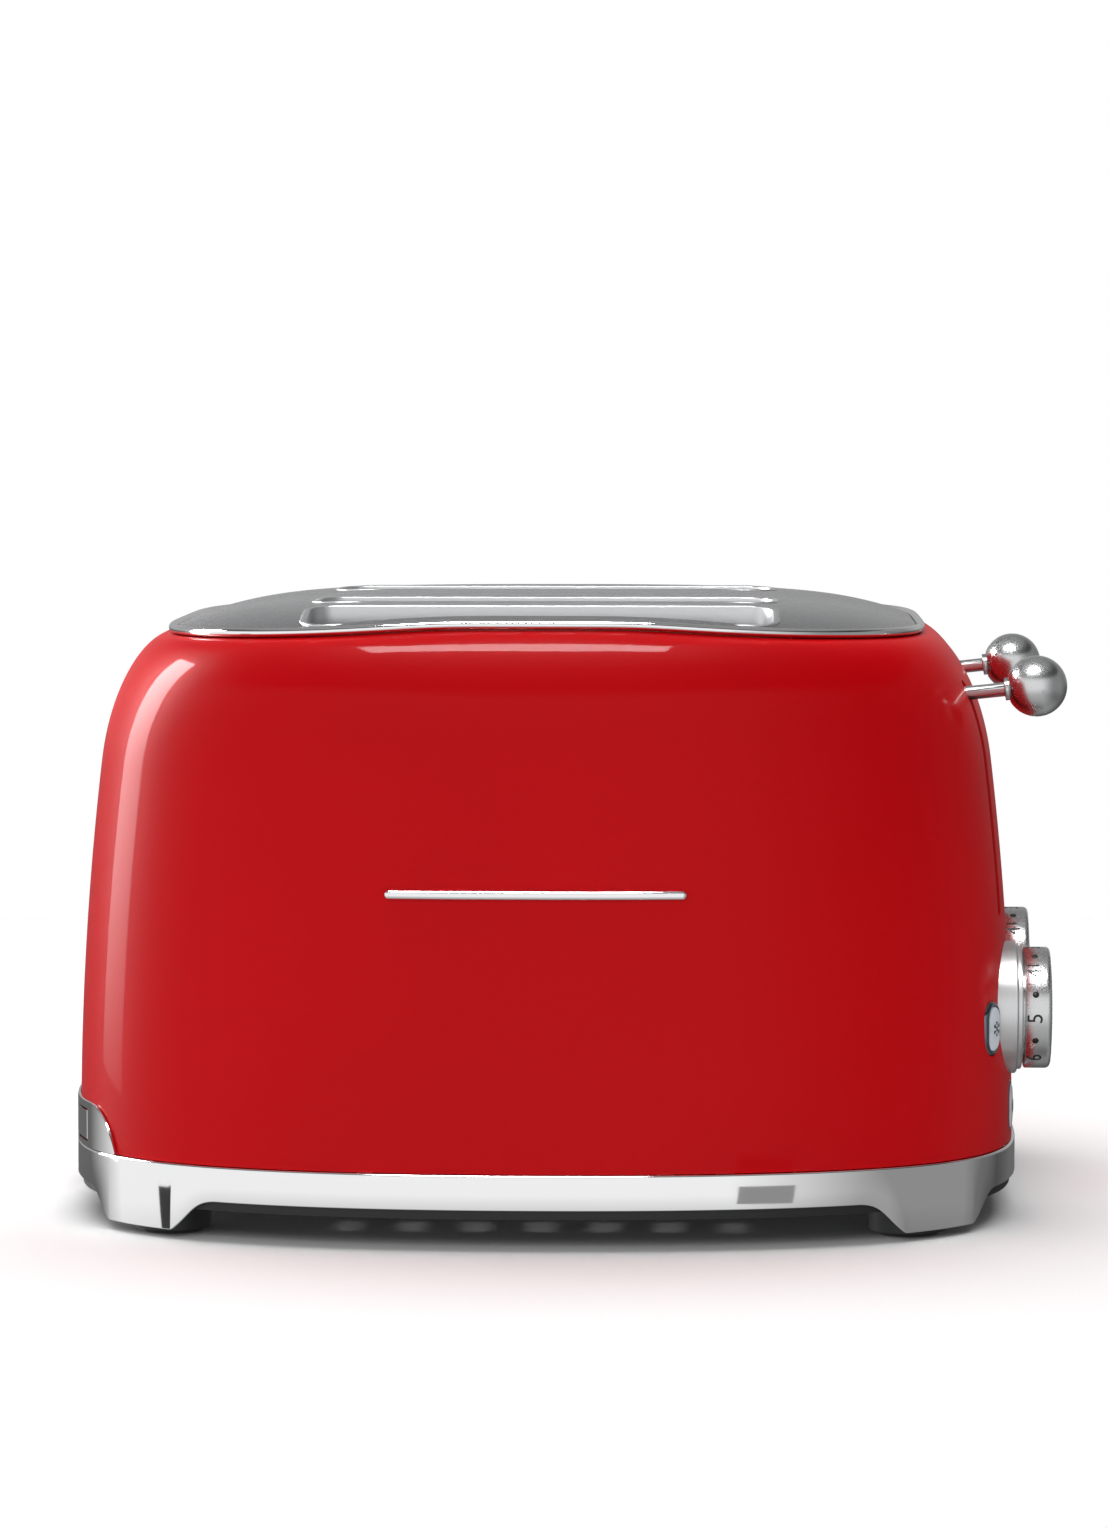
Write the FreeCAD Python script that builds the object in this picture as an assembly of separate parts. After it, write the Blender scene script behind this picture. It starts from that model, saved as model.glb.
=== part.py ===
"""Four-slot pop up toaster: two modules of two slots, each with its own lever, dial and crumb tray.

Frame while modelling: X runs from the crumb tray end (-X) to the control end (+X), Y across the
slots, Z up, with Z = 0 on the counter. save() moves every piece along X so that the origin of the
finished part is the middle of the whole part's footprint. All sizes are in millimetres.
"""
import FreeCAD, Part
import math
import os

Vec = FreeCAD.Vector

# --- body ---
body_half_length = 156.0
body_half_depth = 162.5
body_height = 195.8
plan_power_x = 2.2
plan_power_y = 4.5
plan_sections = 48
shell_wall = 1.2
band_bottom = 13.1
band_top = 24.4
seam_gap = 0.2
side_bow_x = 4.8e-4
side_bow_y = 3.2e-4
crown_reach_x = 31.0
crown_reach_y = 23.0
crown_end_drop = 4.0
crown_depth_x = 41.8
crown_depth_y = 37.8
crown_runout = 12.0
loft_side_steps = 5
loft_crown_steps = 8

# --- top panel, its bead and the bread slots ---
mouth_power_x = 3.2
mouth_power_y = 4.2
bead_radius = 1.5
bead_gap = 0.15
panel_thickness = 0.8
panel_rise = 6.8
panel_edge_rise = 1.6
panel_inset = 1.8
dome_power_x = 4.8
dome_power_y = 8.0
slot_length = 150.0
slot_width = 34.0
slot_corner = 8.0
slot_rib = 22.0
slot_shoulder = 35.0
lip_thickness = 0.9
lip_height = 0.7
lip_depth = 8.0

# --- base, legs and feet ---
band_proud = 1.0
band_wall = 1.2
leg_bottom = 2.9
leg_flank = 7.0
leg_bend_low = 1.0
leg_bend_high = 2.0
front_leg_top = 46.5
front_leg_bottom = 38.0
end_leg_top = 54.0
end_leg_bottom = 46.0
base_plate_thickness = 3.0
base_plate_gap = 0.4
vent_pitch = 20.0
vent_rows = 7
vent_width = 6.0
vent_length = 28.0
vent_spread = 20.0
vent_centre = 85.0
foot_share_x = 0.763
foot_share_y = 0.726
foot_block_radius = 12.5
foot_pad_radius = 10.0
foot_pad_fit = 0.1
foot_pad_recess = 1.5
foot_pad_chamfer = 0.4
rear_panel_height = 15.0
rear_panel_inset = 42.5
rear_panel_flank = 18.0
rear_panel_turn = 11.0
rear_panel_lean = 2.0
rear_panel_gap = 0.1
gland_radius = 4.2
gland_lip = 1.1
gland_bore = 2.8
gland_flange = 2.5
gland_length = 6.0

# --- chassis ---
inner_gap = 1.0
end_plate_margin = 7.0
end_plate_thickness = 1.0
end_plate_top_gap = 11.8
end_plate_side_gap = 21.5
plate_foot_inset = 15.0
plate_foot_width = 18.0
plate_foot_reach = 14.0
plate_foot_thickness = 1.5
rod_lug_margin = 4.0
rod_lug_thickness = 2.0
rod_lug_drop = 3.0
screw_head_radius = 3.0
screw_head_height = 1.95
screw_gap = 0.05
liner_margin = 6.5
liner_wall = 0.6
liner_bottom = 46.0
liner_top_gap = 9.8
heater_rise = 16.0
heater_top_gap = 4.0
heater_margin = 2.0
heater_thickness = 0.8
ribbon_width = 1.6
ribbon_thickness = 0.4
ribbon_sink = 0.1
ribbon_rows = 10
ribbon_margin = 6.0
ribbon_end = 4.0
rack_margin = 1.2
rack_bar_radius = 1.0
rack_rail_radius = 1.2
rack_rail_low = 4.0
rack_rail_high = 2.0
rack_end = 9.0
rack_bars = 9
rack_close = 5.0

# --- carriage, lever and spring ---
lever_travel = 70.0
shelf_height = 130.0
shelf_width = 7.0
shelf_thickness = 3.0
shelf_gap = 1.5
shelf_overrun = 5.0
shelf_end_gap = 10.0
carriage_gap = 5.0
carriage_thickness = 2.0
carriage_drop = 10.0
carriage_rise = 6.0
rod_gap = 9.0
rod_spread = 14.0
rod_radius = 2.5
rod_clearance = 0.05
rod_top_gap = 4.0
boss_radius = 4.5
boss_height = 14.0
boss_web = 5.0
latch_width = 12.0
latch_thickness = 2.0
latch_reach = 10.0
latch_gap = 8.0
arm_gap = 7.0
arm_width = 8.0
arm_thickness = 2.0
arm_drop = 8.0
arm_top_margin = 1.0
tongue_thickness = 3.0
lever_rod_radius = 2.3
lever_slot_gap = 0.6
lever_slot_end = 1.5
collar_radius = 3.7
collar_length = 1.3
collar_gap = 0.1
ball_radius = 10.0
ball_flat = 1.0
ball_socket_gap = 0.05
ball_socket_floor = 3.0
rod_tip_gap = 4.0
ball_reach = 5.5
ball_drop = 20.5
lever_tilt = 6.0
spring_wire_radius = 0.4
spring_radius = 3.9
spring_turns = 13
run_gap = 0.3

# --- controls ---
control_shift = 10.5
dial_z = 68.5
dial_radius = 20.0
dial_thickness = 9.3
dial_reach = 11.5
dial_edge = 1.5
dial_stem_radius = 3.0
dial_skirt_depth = 3.0
ring_outer_radius = 21.75
ring_step_radius = 20.4
ring_bore_radius = 17.5
ring_neck_wall = 0.6
ring_neck_reach = 6.0
ring_reach = 1.4
ring_step = 1.6
button_gap = 0.9
button_drop = 4.0
button_length = 15.0
button_width = 9.0
button_depth = 7.0
button_fit = 0.3
button_stem_radius = 1.6
button_travel = 2.0
button_proud = 2.4
bezel_wall = 1.5
bezel_fit = 0.15
bezel_depth = 8.0
bezel_proud = 1.4
board_depth = 30.0
board_thickness = 1.6
board_half_width = 46.0
board_top = 92.0
switch_height = 4.0
switch_width = 6.0
pot_radius = 8.5
pot_length = 7.0
pot_bush_wall = 1.5
pot_bush_length = 4.0
pot_gap = 0.2
magnet_size = (16.0, 18.0, 16.0)
magnet_post = 6.0
magnet_foot = (16.0, 12.0, 1.5)

# --- crumb trays ---
tray_half_width = 34.0
tray_shift = 16.5
tray_floor_z = 28.0
tray_height = 7.5
tray_wall = 0.8
tray_front_gap = 1.5
tray_gap = 0.6
tray_mouth_margin = 1.0
tray_lip_gap = 0.6
plate_tray_gap = 3.0
plate_tray_headroom = 6.0

# --- trim bar ---
badge_length = 96.0
badge_height = 3.2
badge_proud = 2.5
badge_z = 113.0

# --- worked out from the sizes above ---
shell_bottom = band_top + seam_gap
base_plate_top = band_bottom
base_plate_bottom = base_plate_top - base_plate_thickness
crown_top_y = body_height
crown_start_y = crown_top_y - crown_depth_y
crown_top_x = body_height - crown_end_drop
crown_start_x = crown_top_x - crown_depth_x
mouth_half_length = body_half_length - crown_reach_x
mouth_half_depth = body_half_depth - crown_reach_y
panel_top = body_height + panel_rise
slot_offset = (slot_width + slot_rib) / 2.0
module_offset = body_half_depth - slot_shoulder - slot_width / 2.0 - slot_offset
modules = ((1, -module_offset), (2, module_offset))
control_offset = module_offset - control_shift
front_window_top = body_half_length - front_leg_top
front_window_bottom = body_half_length - front_leg_bottom
end_window_top = body_half_depth - end_leg_top
end_window_bottom = body_half_depth - end_leg_bottom
foot_x = body_half_length * foot_share_x
foot_y = body_half_depth * foot_share_y
rear_panel_half_width = body_half_depth - rear_panel_inset
end_plate_x = slot_length / 2.0 + end_plate_margin
end_plate_top = body_height - end_plate_top_gap
end_plate_half_width = body_half_depth - end_plate_side_gap
plate_foot_y = end_plate_half_width - plate_foot_inset
liner_width = slot_width + 2.0 * liner_margin
liner_top = body_height - liner_top_gap
heater_bottom = liner_bottom + heater_rise
heater_top = liner_top - heater_top_gap
heater_offset = liner_width / 2.0 - heater_margin
rack_offset = slot_width / 2.0 - rack_margin
inner_half_length = end_plate_x - 2.0 * run_gap - liner_wall
carriage_x = end_plate_x + carriage_gap
rod_x = carriage_x + rod_gap
rod_top = end_plate_top - rod_top_gap
arm_x = rod_x + arm_gap
boss_top = shelf_height + carriage_rise
boss_bottom = boss_top - boss_height
latch_offset = rod_spread + boss_radius + latch_gap
ball_x = body_half_length + ball_reach
ball_z = body_height - ball_drop
lever_slot_width = 2.0 * (lever_rod_radius + lever_slot_gap)
dial_face_x = body_half_length + dial_reach
ring_face_x = body_half_length + ring_reach
button_spread = ring_outer_radius + button_gap + button_width / 2.0 + bezel_wall
board_x = body_half_length - board_depth
switch_face_x = board_x + board_thickness + switch_height
tray_inner_y = module_offset - tray_shift - tray_half_width
tray_outer_y = module_offset - tray_shift + tray_half_width
gland_z = (band_bottom + band_top) / 2.0
part_reach_x = ball_x + ball_radius
body_x = -(part_reach_x - (body_half_length + band_proud + gland_flange)) / 2.0


def plan_point(angle, half_x, half_y, power_x, power_y):
    """Point of the rounded plan outline in the direction of angle."""
    cosine = abs(math.cos(angle)) / half_x
    sine = abs(math.sin(angle)) / half_y
    low, high = 0.0, 2.0 * max(half_x, half_y)
    for _ in range(40):
        middle = (low + high) / 2.0
        if (middle * cosine) ** power_x + (middle * sine) ** power_y < 1.0:
            low = middle
        else:
            high = middle
    return middle * math.cos(angle), middle * math.sin(angle)


def plan_outline(half_x, half_y, power_x, power_y, z=0.0):
    """Closed smooth wire round the plan outline at height z."""
    points = []
    for step in range(plan_sections):
        x, y = plan_point(2.0 * math.pi * step / plan_sections, half_x, half_y, power_x, power_y)
        points.append(Vec(x, y, z))
    return closed_wire(points)


def closed_wire(points):
    curve = Part.BSplineCurve()
    curve.interpolate(Points=points, PeriodicFlag=True)
    return Part.Wire([curve.toShape()])


def base_prism(offset, z_low, z_high):
    """Upright solid on the base outline moved out by offset."""
    wire = plan_outline(body_half_length + offset, body_half_depth + offset,
                        plan_power_x, plan_power_y, z_low)
    return Part.Face(wire).extrude(Vec(0, 0, z_high - z_low))


def mouth_prism(offset, z_low, z_high):
    """Upright solid on the top opening's outline moved out by offset."""
    wire = plan_outline(mouth_half_length + offset, mouth_half_depth + offset,
                        mouth_power_x, mouth_power_y, z_low)
    return Part.Face(wire).extrude(Vec(0, 0, z_high - z_low))


def inset_at(z, bow, start, top, full_inset):
    """How far the body's side has moved in at height z: a slight bow, then the rounded crown."""
    inset = bow * (min(z, top) - shell_bottom) ** 2
    crown_inset = full_inset - bow * (top - shell_bottom) ** 2
    if z > start:
        rise = min(1.0, (z - start) / (top - start))
        inset += crown_inset * (1.0 - math.sqrt(1.0 - rise * rise))
    if z > top:
        inset += crown_runout * (z - top)
    return inset


def half_sizes(z):
    """Half length, half depth and outline powers of the body at height z."""
    half_x = body_half_length - inset_at(z, side_bow_x, crown_start_x, crown_top_x,
                                         body_half_length - mouth_half_length)
    half_y = body_half_depth - inset_at(z, side_bow_y, crown_start_y, crown_top_y,
                                        body_half_depth - mouth_half_depth)
    blend = min(1.0, max(0.0, (z - shell_bottom) / (crown_top_y - shell_bottom))) ** 3
    power_x = plan_power_x + (mouth_power_x - plan_power_x) * blend
    power_y = plan_power_y + (mouth_power_y - plan_power_y) * blend
    return half_x, half_y, power_x, power_y


def body_loft(inset, drop, z_low, z_high):
    """Solid body skin, moved in by inset and down by drop, between two heights."""
    heights = [shell_bottom + step * (crown_start_x - shell_bottom) / loft_side_steps
               for step in range(loft_side_steps + 1)]
    for step in range(1, loft_crown_steps + 1):
        swing = math.radians(step * 90.0 / loft_crown_steps)
        heights.append(crown_start_x + (crown_top_x - crown_start_x) * math.sin(swing))
    heights += [crown_top_x + crown_end_drop * share for share in (1.0 / 3.0, 2.0 / 3.0, 1.0)]
    sections = [z for z in heights if z_low + 2.0 < z < z_high - 0.8]
    sections = [z_low] + sections + [z_high]
    wires = []
    for z in sections:
        half_x, half_y, power_x, power_y = half_sizes(max(z + drop, shell_bottom))
        wires.append(plan_outline(half_x - inset, half_y - inset, power_x, power_y, z))
    return Part.makeLoft(wires, True, True)


def surface_height(x, y):
    """Height of the body's skin above the plan point (x, y), near the top opening."""
    low, high = shell_bottom, crown_top_y + 3.0
    for _ in range(40):
        middle = (low + high) / 2.0
        half_x, half_y, power_x, power_y = half_sizes(middle)
        if (abs(x) / half_x) ** power_x + (abs(y) / half_y) ** power_y < 1.0:
            low = middle
        else:
            high = middle
    return middle


def wall_x(y, z):
    """X of the body's outside at the control end for a given y and z."""
    half_x, half_y, power_x, power_y = half_sizes(z)
    return half_x * (1.0 - (abs(y) / half_y) ** power_y) ** (1.0 / power_x)


def box(x0, x1, y0, y1, z0, z1):
    return Part.makeBox(x1 - x0, y1 - y0, z1 - z0, Vec(x0, y0, z0))


def cylinder_x(radius, x0, x1, y, z):
    return Part.makeCylinder(radius, x1 - x0, Vec(x0, y, z), Vec(1, 0, 0))


def cylinder_z(radius, z0, z1, x, y):
    return Part.makeCylinder(radius, z1 - z0, Vec(x, y, z0))


def rounded_slot(length, width, corner, y_mid, z0, z1):
    """Upright prism with rounded corners, centred on x = 0."""
    solid = box(-length / 2.0, length / 2.0, y_mid - width / 2.0, y_mid + width / 2.0, z0, z1)
    uprights = [edge for edge in solid.Edges
                if abs(edge.Vertexes[0].Point.z - edge.Vertexes[1].Point.z) > (z1 - z0) / 2.0]
    return solid.makeFillet(corner, uprights)


def slot_centres():
    return [(index * 2 + side, y_mid + direction * slot_offset)
            for index, (_, y_mid) in enumerate(modules)
            for side, direction in ((1, -1), (2, 1))]


def lever_slots():
    """Upright cutters with round ends for the two lever slots."""
    half = lever_slot_width / 2.0
    low_wall = wall_x(module_offset, ball_z - lever_travel)
    low = lever_z_at(low_wall) - lever_travel - lever_slot_end
    high = lever_z_at(wall_x(module_offset, ball_z)) + lever_slot_end
    x0 = arm_x + arm_thickness + carriage_drop
    cutters = []
    for _, y_mid in modules:
        slot = box(x0, ball_x, y_mid - half, y_mid + half, low, high)
        slot = slot.fuse([cylinder_x(half, x0, ball_x, y_mid, z) for z in (low, high)])
        cutters.append(slot)
    return cutters


def control_y(y_mid):
    """Y of a module's dial, nearer the middle than its lever."""
    return math.copysign(control_offset, y_mid)


def lever_z_at(x):
    """Height of the tilted lever rod's axis at x."""
    return ball_z - (ball_x - x) * math.tan(math.radians(lever_tilt))


def button_places():
    """Middle of each button, three to a dial: two beside it and one below."""
    places = []
    for _, y_mid in modules:
        y = control_y(y_mid)
        places.append((y - button_spread, dial_z - button_drop))
        places.append((y + button_spread, dial_z - button_drop))
        places.append((y, dial_z - button_spread - button_drop))
    return places


def button_prism(x0, x1, y, z, grow):
    """Rounded bar along X, standing for a button or the hole round it."""
    width = button_width + 2.0 * grow
    length = button_length + 2.0 * grow
    radius = width / 2.0
    straight = (length - width) / 2.0
    bar = box(x0, x1, y - radius, y + radius, z - straight, z + straight)
    return bar.fuse([cylinder_x(radius, x0, x1, y, z + side * straight) for side in (-1, 1)])


def beyond_wall(y, z, proud):
    """Everything outside a plane that leans with the wall at (y, z), moved out along X by proud."""
    step = 0.5
    lean = (wall_x(y + step, z) - wall_x(y - step, z)) / (2.0 * step)
    reach = 3.0 * button_length
    block = box(0.0, reach, -reach, reach, -reach, reach)
    block.rotate(Vec(0, 0, 0), Vec(0, 0, 1), -math.degrees(math.atan(lean)))
    block.translate(Vec(wall_x(y, z) + proud, y, z))
    return block


def tray_mouth(y_mid, grow):
    """Opening of one crumb tray, through the wall at the -X end."""
    side = 1.0 if y_mid > 0 else -1.0
    y_low, y_high = sorted((side * tray_inner_y, side * tray_outer_y))
    return box(-part_reach_x, -end_plate_x, y_low - grow, y_high + grow,
               tray_floor_z - tray_mouth_margin - grow, tray_floor_z + tray_height + tray_mouth_margin + grow)


def make_outer_shell():
    shell = body_loft(0.0, 0.0, shell_bottom, crown_top_y + 0.6)
    hollow = body_loft(shell_wall, shell_wall, band_bottom, crown_top_y - shell_wall)
    shell = shell.cut(hollow)
    shell = shell.cut(mouth_prism(0.0, crown_start_y, crown_top_y + 20.0))
    cutters = lever_slots()
    cutters += [tray_mouth(y_mid, tray_gap) for _, y_mid in modules]
    for _, y_mid in modules:
        cutters.append(cylinder_x(ring_bore_radius, switch_face_x, dial_face_x, control_y(y_mid), dial_z))
    for y, z in button_places():
        cutters.append(button_prism(switch_face_x, dial_face_x, y, z, bezel_wall))
    return shell.cut(cutters)


def bead_path():
    points = []
    for step in range(plan_sections):
        x, y = plan_point(2.0 * math.pi * step / plan_sections, mouth_half_length, mouth_half_depth,
                          mouth_power_x, mouth_power_y)
        points.append(Vec(x, y, surface_height(x, y) + bead_radius + bead_gap))
    return points


def make_top_bead():
    points = bead_path()
    sweep = Part.BRepOffsetAPI.MakePipeShell(closed_wire(points))
    sweep.setBiNormalMode(Vec(0, 0, 1))
    sweep.add(Part.Wire([Part.makeCircle(bead_radius, points[0], Vec(0, 1, 0))]))
    sweep.build()
    sweep.makeSolid()
    return sweep.shape()


def panel_height(x, y):
    """Height of the domed top panel over a plan point, smooth past its edge."""
    angle = math.atan2(y, x)
    edge_x, edge_y = plan_point(angle, mouth_half_length, mouth_half_depth, mouth_power_x, mouth_power_y)
    share = math.hypot(x, y) / math.hypot(edge_x, edge_y)
    drop = panel_top - surface_height(edge_x, edge_y) - panel_edge_rise
    power = dome_power_x * math.cos(angle) ** 2 + dome_power_y * math.sin(angle) ** 2
    if share <= 1.0:
        return panel_top - drop * share ** power
    return panel_top - drop * (1.0 + power * (share - 1.0))


def panel_surface():
    rows = 33
    columns = 33
    grid = []
    for row in range(rows):
        x = (2.0 * row / (rows - 1) - 1.0) * (mouth_half_length + 3.0)
        line = []
        for column in range(columns):
            y = (2.0 * column / (columns - 1) - 1.0) * (mouth_half_depth + 3.0)
            line.append(Vec(x, y, panel_height(x, y)))
        grid.append(line)
    surface = Part.BSplineSurface()
    surface.interpolate(grid)
    return surface.toShape()


def make_top_panel():
    skin = panel_surface()
    above = skin.copy()
    above.translate(Vec(0, 0, lip_height))
    above = above.extrude(Vec(0, 0, 20.0))
    sheet = skin.extrude(Vec(0, 0, -panel_thickness))
    panel = sheet.common(mouth_prism(-panel_inset, 150.0, panel_top + 5.0))
    lips = []
    holes = []
    for _, y_mid in slot_centres():
        hole = rounded_slot(slot_length, slot_width, slot_corner, y_mid, 150.0, panel_top + 5.0)
        collar = rounded_slot(slot_length + 2.0 * lip_thickness, slot_width + 2.0 * lip_thickness,
                              slot_corner + lip_thickness, y_mid, panel_top - lip_depth, panel_top + 4.0)
        holes.append(hole)
        lips.append(collar.cut(above))
    return panel.fuse(lips).cut(holes)


def window_profile(half_top, half_bottom):
    """Arched gap under the band between two legs, as (position, height) points and curves."""
    z_low = -leg_bottom
    z_mid = (band_bottom + leg_bottom) / 2.0

    def place(position, height):
        return Vec(position, 0.0, height)

    right = Part.BezierCurve()
    right.setPoles([place(half_top - leg_flank, band_bottom), place(half_top + leg_bend_low, band_bottom),
                    place(half_top + leg_bend_high, z_mid), place(half_bottom, leg_bottom)])
    left = Part.BezierCurve()
    left.setPoles([place(-pole.x, pole.z) for pole in right.getPoles()])
    edges = [
        Part.makeLine(place(-half_top + leg_flank, band_bottom), place(half_top - leg_flank, band_bottom)),
        right.toShape(),
        Part.makeLine(place(half_bottom, leg_bottom), place(half_bottom, z_low)),
        Part.makeLine(place(half_bottom, z_low), place(-half_bottom, z_low)),
        Part.makeLine(place(-half_bottom, z_low), place(-half_bottom, leg_bottom)),
        left.toShape(),
    ]
    return Part.Face(Part.Wire(Part.__sortEdges__(edges)))


def make_base_band():
    ring = base_prism(band_proud, leg_bottom, band_top)
    ring = ring.cut(base_prism(band_proud - band_wall, leg_bottom - 1.0, band_top + 1.0))
    reach = 2.0 * max(body_half_depth, body_half_length)
    front = window_profile(front_window_top, front_window_bottom)
    front.translate(Vec(0, -reach, 0))
    front = front.extrude(Vec(0, 2.0 * reach, 0))
    ends = window_profile(end_window_top, end_window_bottom)
    ends.rotate(Vec(0, 0, 0), Vec(0, 0, 1), 90.0)
    ends.translate(Vec(-reach, 0, 0))
    ends = ends.extrude(Vec(2.0 * reach, 0, 0))
    gland = cylinder_x(gland_radius + run_gap, -part_reach_x, -end_plate_x, 0.0, gland_z)
    return ring.cut([front, ends, gland])


def make_rear_panel():
    """Raised plate over the crumb tray mouths, with sweeping ends."""
    z_high = shell_bottom + rear_panel_height
    outer = rear_panel_half_width
    inner = outer - rear_panel_flank
    right = Part.BezierCurve()
    z_mid = (shell_bottom + z_high) / 2.0
    right.setPoles([Vec(0, inner, z_high), Vec(0, inner + rear_panel_turn, z_high),
                    Vec(0, outer - rear_panel_lean, z_mid), Vec(0, outer, shell_bottom)])
    left = Part.BezierCurve()
    left.setPoles([Vec(0, -pole.y, pole.z) for pole in right.getPoles()])
    edges = [
        Part.makeLine(Vec(0, -inner, z_high), Vec(0, inner, z_high)),
        right.toShape(),
        Part.makeLine(Vec(0, outer, shell_bottom), Vec(0, -outer, shell_bottom)),
        left.toShape(),
    ]
    profile = Part.Face(Part.Wire(Part.__sortEdges__(edges)))
    profile.translate(Vec(-end_plate_x, 0, 0))
    block = profile.extrude(Vec(-body_half_length, 0, 0))
    ring = base_prism(band_proud, shell_bottom - 1.0, z_high + 1.0)
    ring = ring.cut(base_prism(rear_panel_gap, shell_bottom - 2.0, z_high + 2.0))
    panel = ring.common(block)
    return panel.cut([tray_mouth(y_mid, tray_gap) for _, y_mid in modules])


def make_base_plate():
    plate = base_prism(band_proud - band_wall - base_plate_gap, base_plate_bottom, base_plate_top)
    vents = []
    for row in range(vent_rows):
        x = (row - (vent_rows - 1) / 2.0) * vent_pitch
        for y in (-vent_centre - vent_spread, -vent_centre + vent_spread,
                  vent_centre - vent_spread, vent_centre + vent_spread):
            vents.append(box(x - vent_width / 2.0, x + vent_width / 2.0,
                             y - vent_length / 2.0, y + vent_length / 2.0, 0.0, band_top))
    return plate.cut(vents)


def foot_places():
    return [(side_x * foot_x, side_y * foot_y) for side_x in (-1, 1) for side_y in (-1, 1)]


def make_foot_block(x, y):
    block = cylinder_z(foot_block_radius, foot_pad_recess, base_plate_bottom, x, y)
    pocket = cylinder_z(foot_pad_radius, 0.0, foot_pad_recess * 2.0, x, y)
    return block.cut(pocket)


def make_foot_pad(x, y):
    pad = cylinder_z(foot_pad_radius - foot_pad_fit, 0.0, foot_pad_recess * 2.0, x, y)
    bottom = [edge for edge in pad.Edges if edge.BoundBox.ZMax < foot_pad_recess]
    return pad.makeChamfer(foot_pad_chamfer, bottom)


def make_cord_gland():
    x_wall = -body_half_length - band_proud
    x_in = x_wall + gland_length
    x_out = x_wall - gland_flange
    flange = cylinder_x(gland_radius + gland_lip, x_out, x_wall - run_gap, 0.0, gland_z)
    neck = cylinder_x(gland_radius, x_wall - band_proud, x_in, 0.0, gland_z)
    bore = cylinder_x(gland_bore, x_out - 1.0, x_in + 1.0, 0.0, gland_z)
    return flange.fuse(neck).cut(bore)


def shelf_openings(x0, x1):
    """Upright gaps that the bread shelves run in."""
    low = shelf_height - lever_travel - shelf_thickness - shelf_overrun
    high = shelf_height + shelf_overrun
    half = shelf_width / 2.0 + shelf_gap
    return [box(x0, x1, y - half, y + half, low, high) for _, y in slot_centres()]


def make_end_plate(side):
    x0 = side * end_plate_x - (0.0 if side > 0 else end_plate_thickness)
    x1 = x0 + end_plate_thickness
    plate = box(x0, x1, -end_plate_half_width, end_plate_half_width, base_plate_top, end_plate_top)
    plate = plate.common(body_loft(shell_wall + inner_gap, shell_wall + inner_gap,
                                   base_plate_bottom, crown_top_x))
    cutters = []
    for _, y_mid in modules:
        direction = 1.0 if y_mid > 0 else -1.0
        y_low, y_high = sorted((direction * (tray_inner_y - plate_tray_gap),
                                direction * (tray_outer_y + plate_tray_gap)))
        cutters.append(box(x0 - 1.0, x1 + 1.0, y_low, y_high, 0.0,
                           tray_floor_z + tray_height + plate_tray_headroom))
    foot_x0, foot_x1 = sorted((x0 if side > 0 else x1, side * (end_plate_x + plate_foot_reach)))
    feet = [box(foot_x0, foot_x1, y - plate_foot_width / 2.0, y + plate_foot_width / 2.0,
                base_plate_top, base_plate_top + plate_foot_thickness)
            for y in (-plate_foot_y, 0.0, plate_foot_y)]
    if side > 0:
        cutters += shelf_openings(x0 - 1.0, x1 + 1.0)
        for _, y_mid in modules:
            reach = rod_spread + rod_radius + rod_lug_margin
            lug_top = rod_top - rod_lug_drop
            lug = box(x0, rod_x + rod_radius + rod_lug_margin, y_mid - reach, y_mid + reach,
                      lug_top - rod_lug_thickness, lug_top)
            feet.append(lug)
            for spread in (-rod_spread, rod_spread):
                cutters.append(cylinder_z(rod_radius + rod_clearance, lug_top - 2.0 * rod_lug_thickness,
                                          end_plate_top, rod_x, y_mid + spread))
    plate = plate.fuse(feet)
    return plate.cut(cutters)


def make_slot_liner(y):
    half = end_plate_x - run_gap
    outer = box(-half, half, y - liner_width / 2.0, y + liner_width / 2.0, liner_bottom, liner_top)
    inner = box(-half + liner_wall, half - liner_wall, y - liner_width / 2.0 + liner_wall,
                y + liner_width / 2.0 - liner_wall, liner_bottom - 1.0, liner_top + 1.0)
    liner = outer.cut(inner)
    opening = shelf_openings(half - 2.0, half + 1.0)
    return liner.cut(opening)


def make_heater_boards(y):
    """Two mica boards of one slot with their heater ribbons wound across them."""
    pieces = []
    half = inner_half_length
    for side in (-1, 1):
        board_y = y + side * heater_offset
        board = box(-half, half, board_y - heater_thickness / 2.0, board_y + heater_thickness / 2.0,
                    heater_bottom, heater_top)
        rows = []
        pitch = (heater_top - heater_bottom - 2.0 * ribbon_margin) / (ribbon_rows - 1)
        face_y = board_y - side * (heater_thickness / 2.0)
        y_low, y_high = sorted((face_y + side * ribbon_sink, face_y - side * ribbon_thickness))
        for row in range(ribbon_rows):
            z = heater_bottom + ribbon_margin + row * pitch
            rows.append(box(-half + ribbon_end, half - ribbon_end, y_low, y_high,
                            z - ribbon_width / 2.0, z + ribbon_width / 2.0))
        pieces.append(board.fuse(rows))
    return Part.makeCompound(pieces)


def make_bread_guide(y_mid, side):
    """Racks of one module that close in the same direction, one in each slot."""
    half = inner_half_length
    racks = []
    for y_slot in (y_mid - slot_offset, y_mid + slot_offset):
        y = y_slot + side * rack_offset
        bars = [cylinder_x(rack_rail_radius, -half, half, y, z)
                for z in (heater_bottom + rack_rail_low, heater_top - rack_rail_high)]
        pitch = 2.0 * (half - rack_end) / (rack_bars - 1)
        for step in range(rack_bars):
            x = -half + rack_end + step * pitch
            bars.append(cylinder_z(rack_bar_radius, heater_bottom + rack_bar_radius, heater_top, x, y))
        racks.append(bars[0].fuse(bars[1:]))
    return Part.makeCompound(racks)


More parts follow.
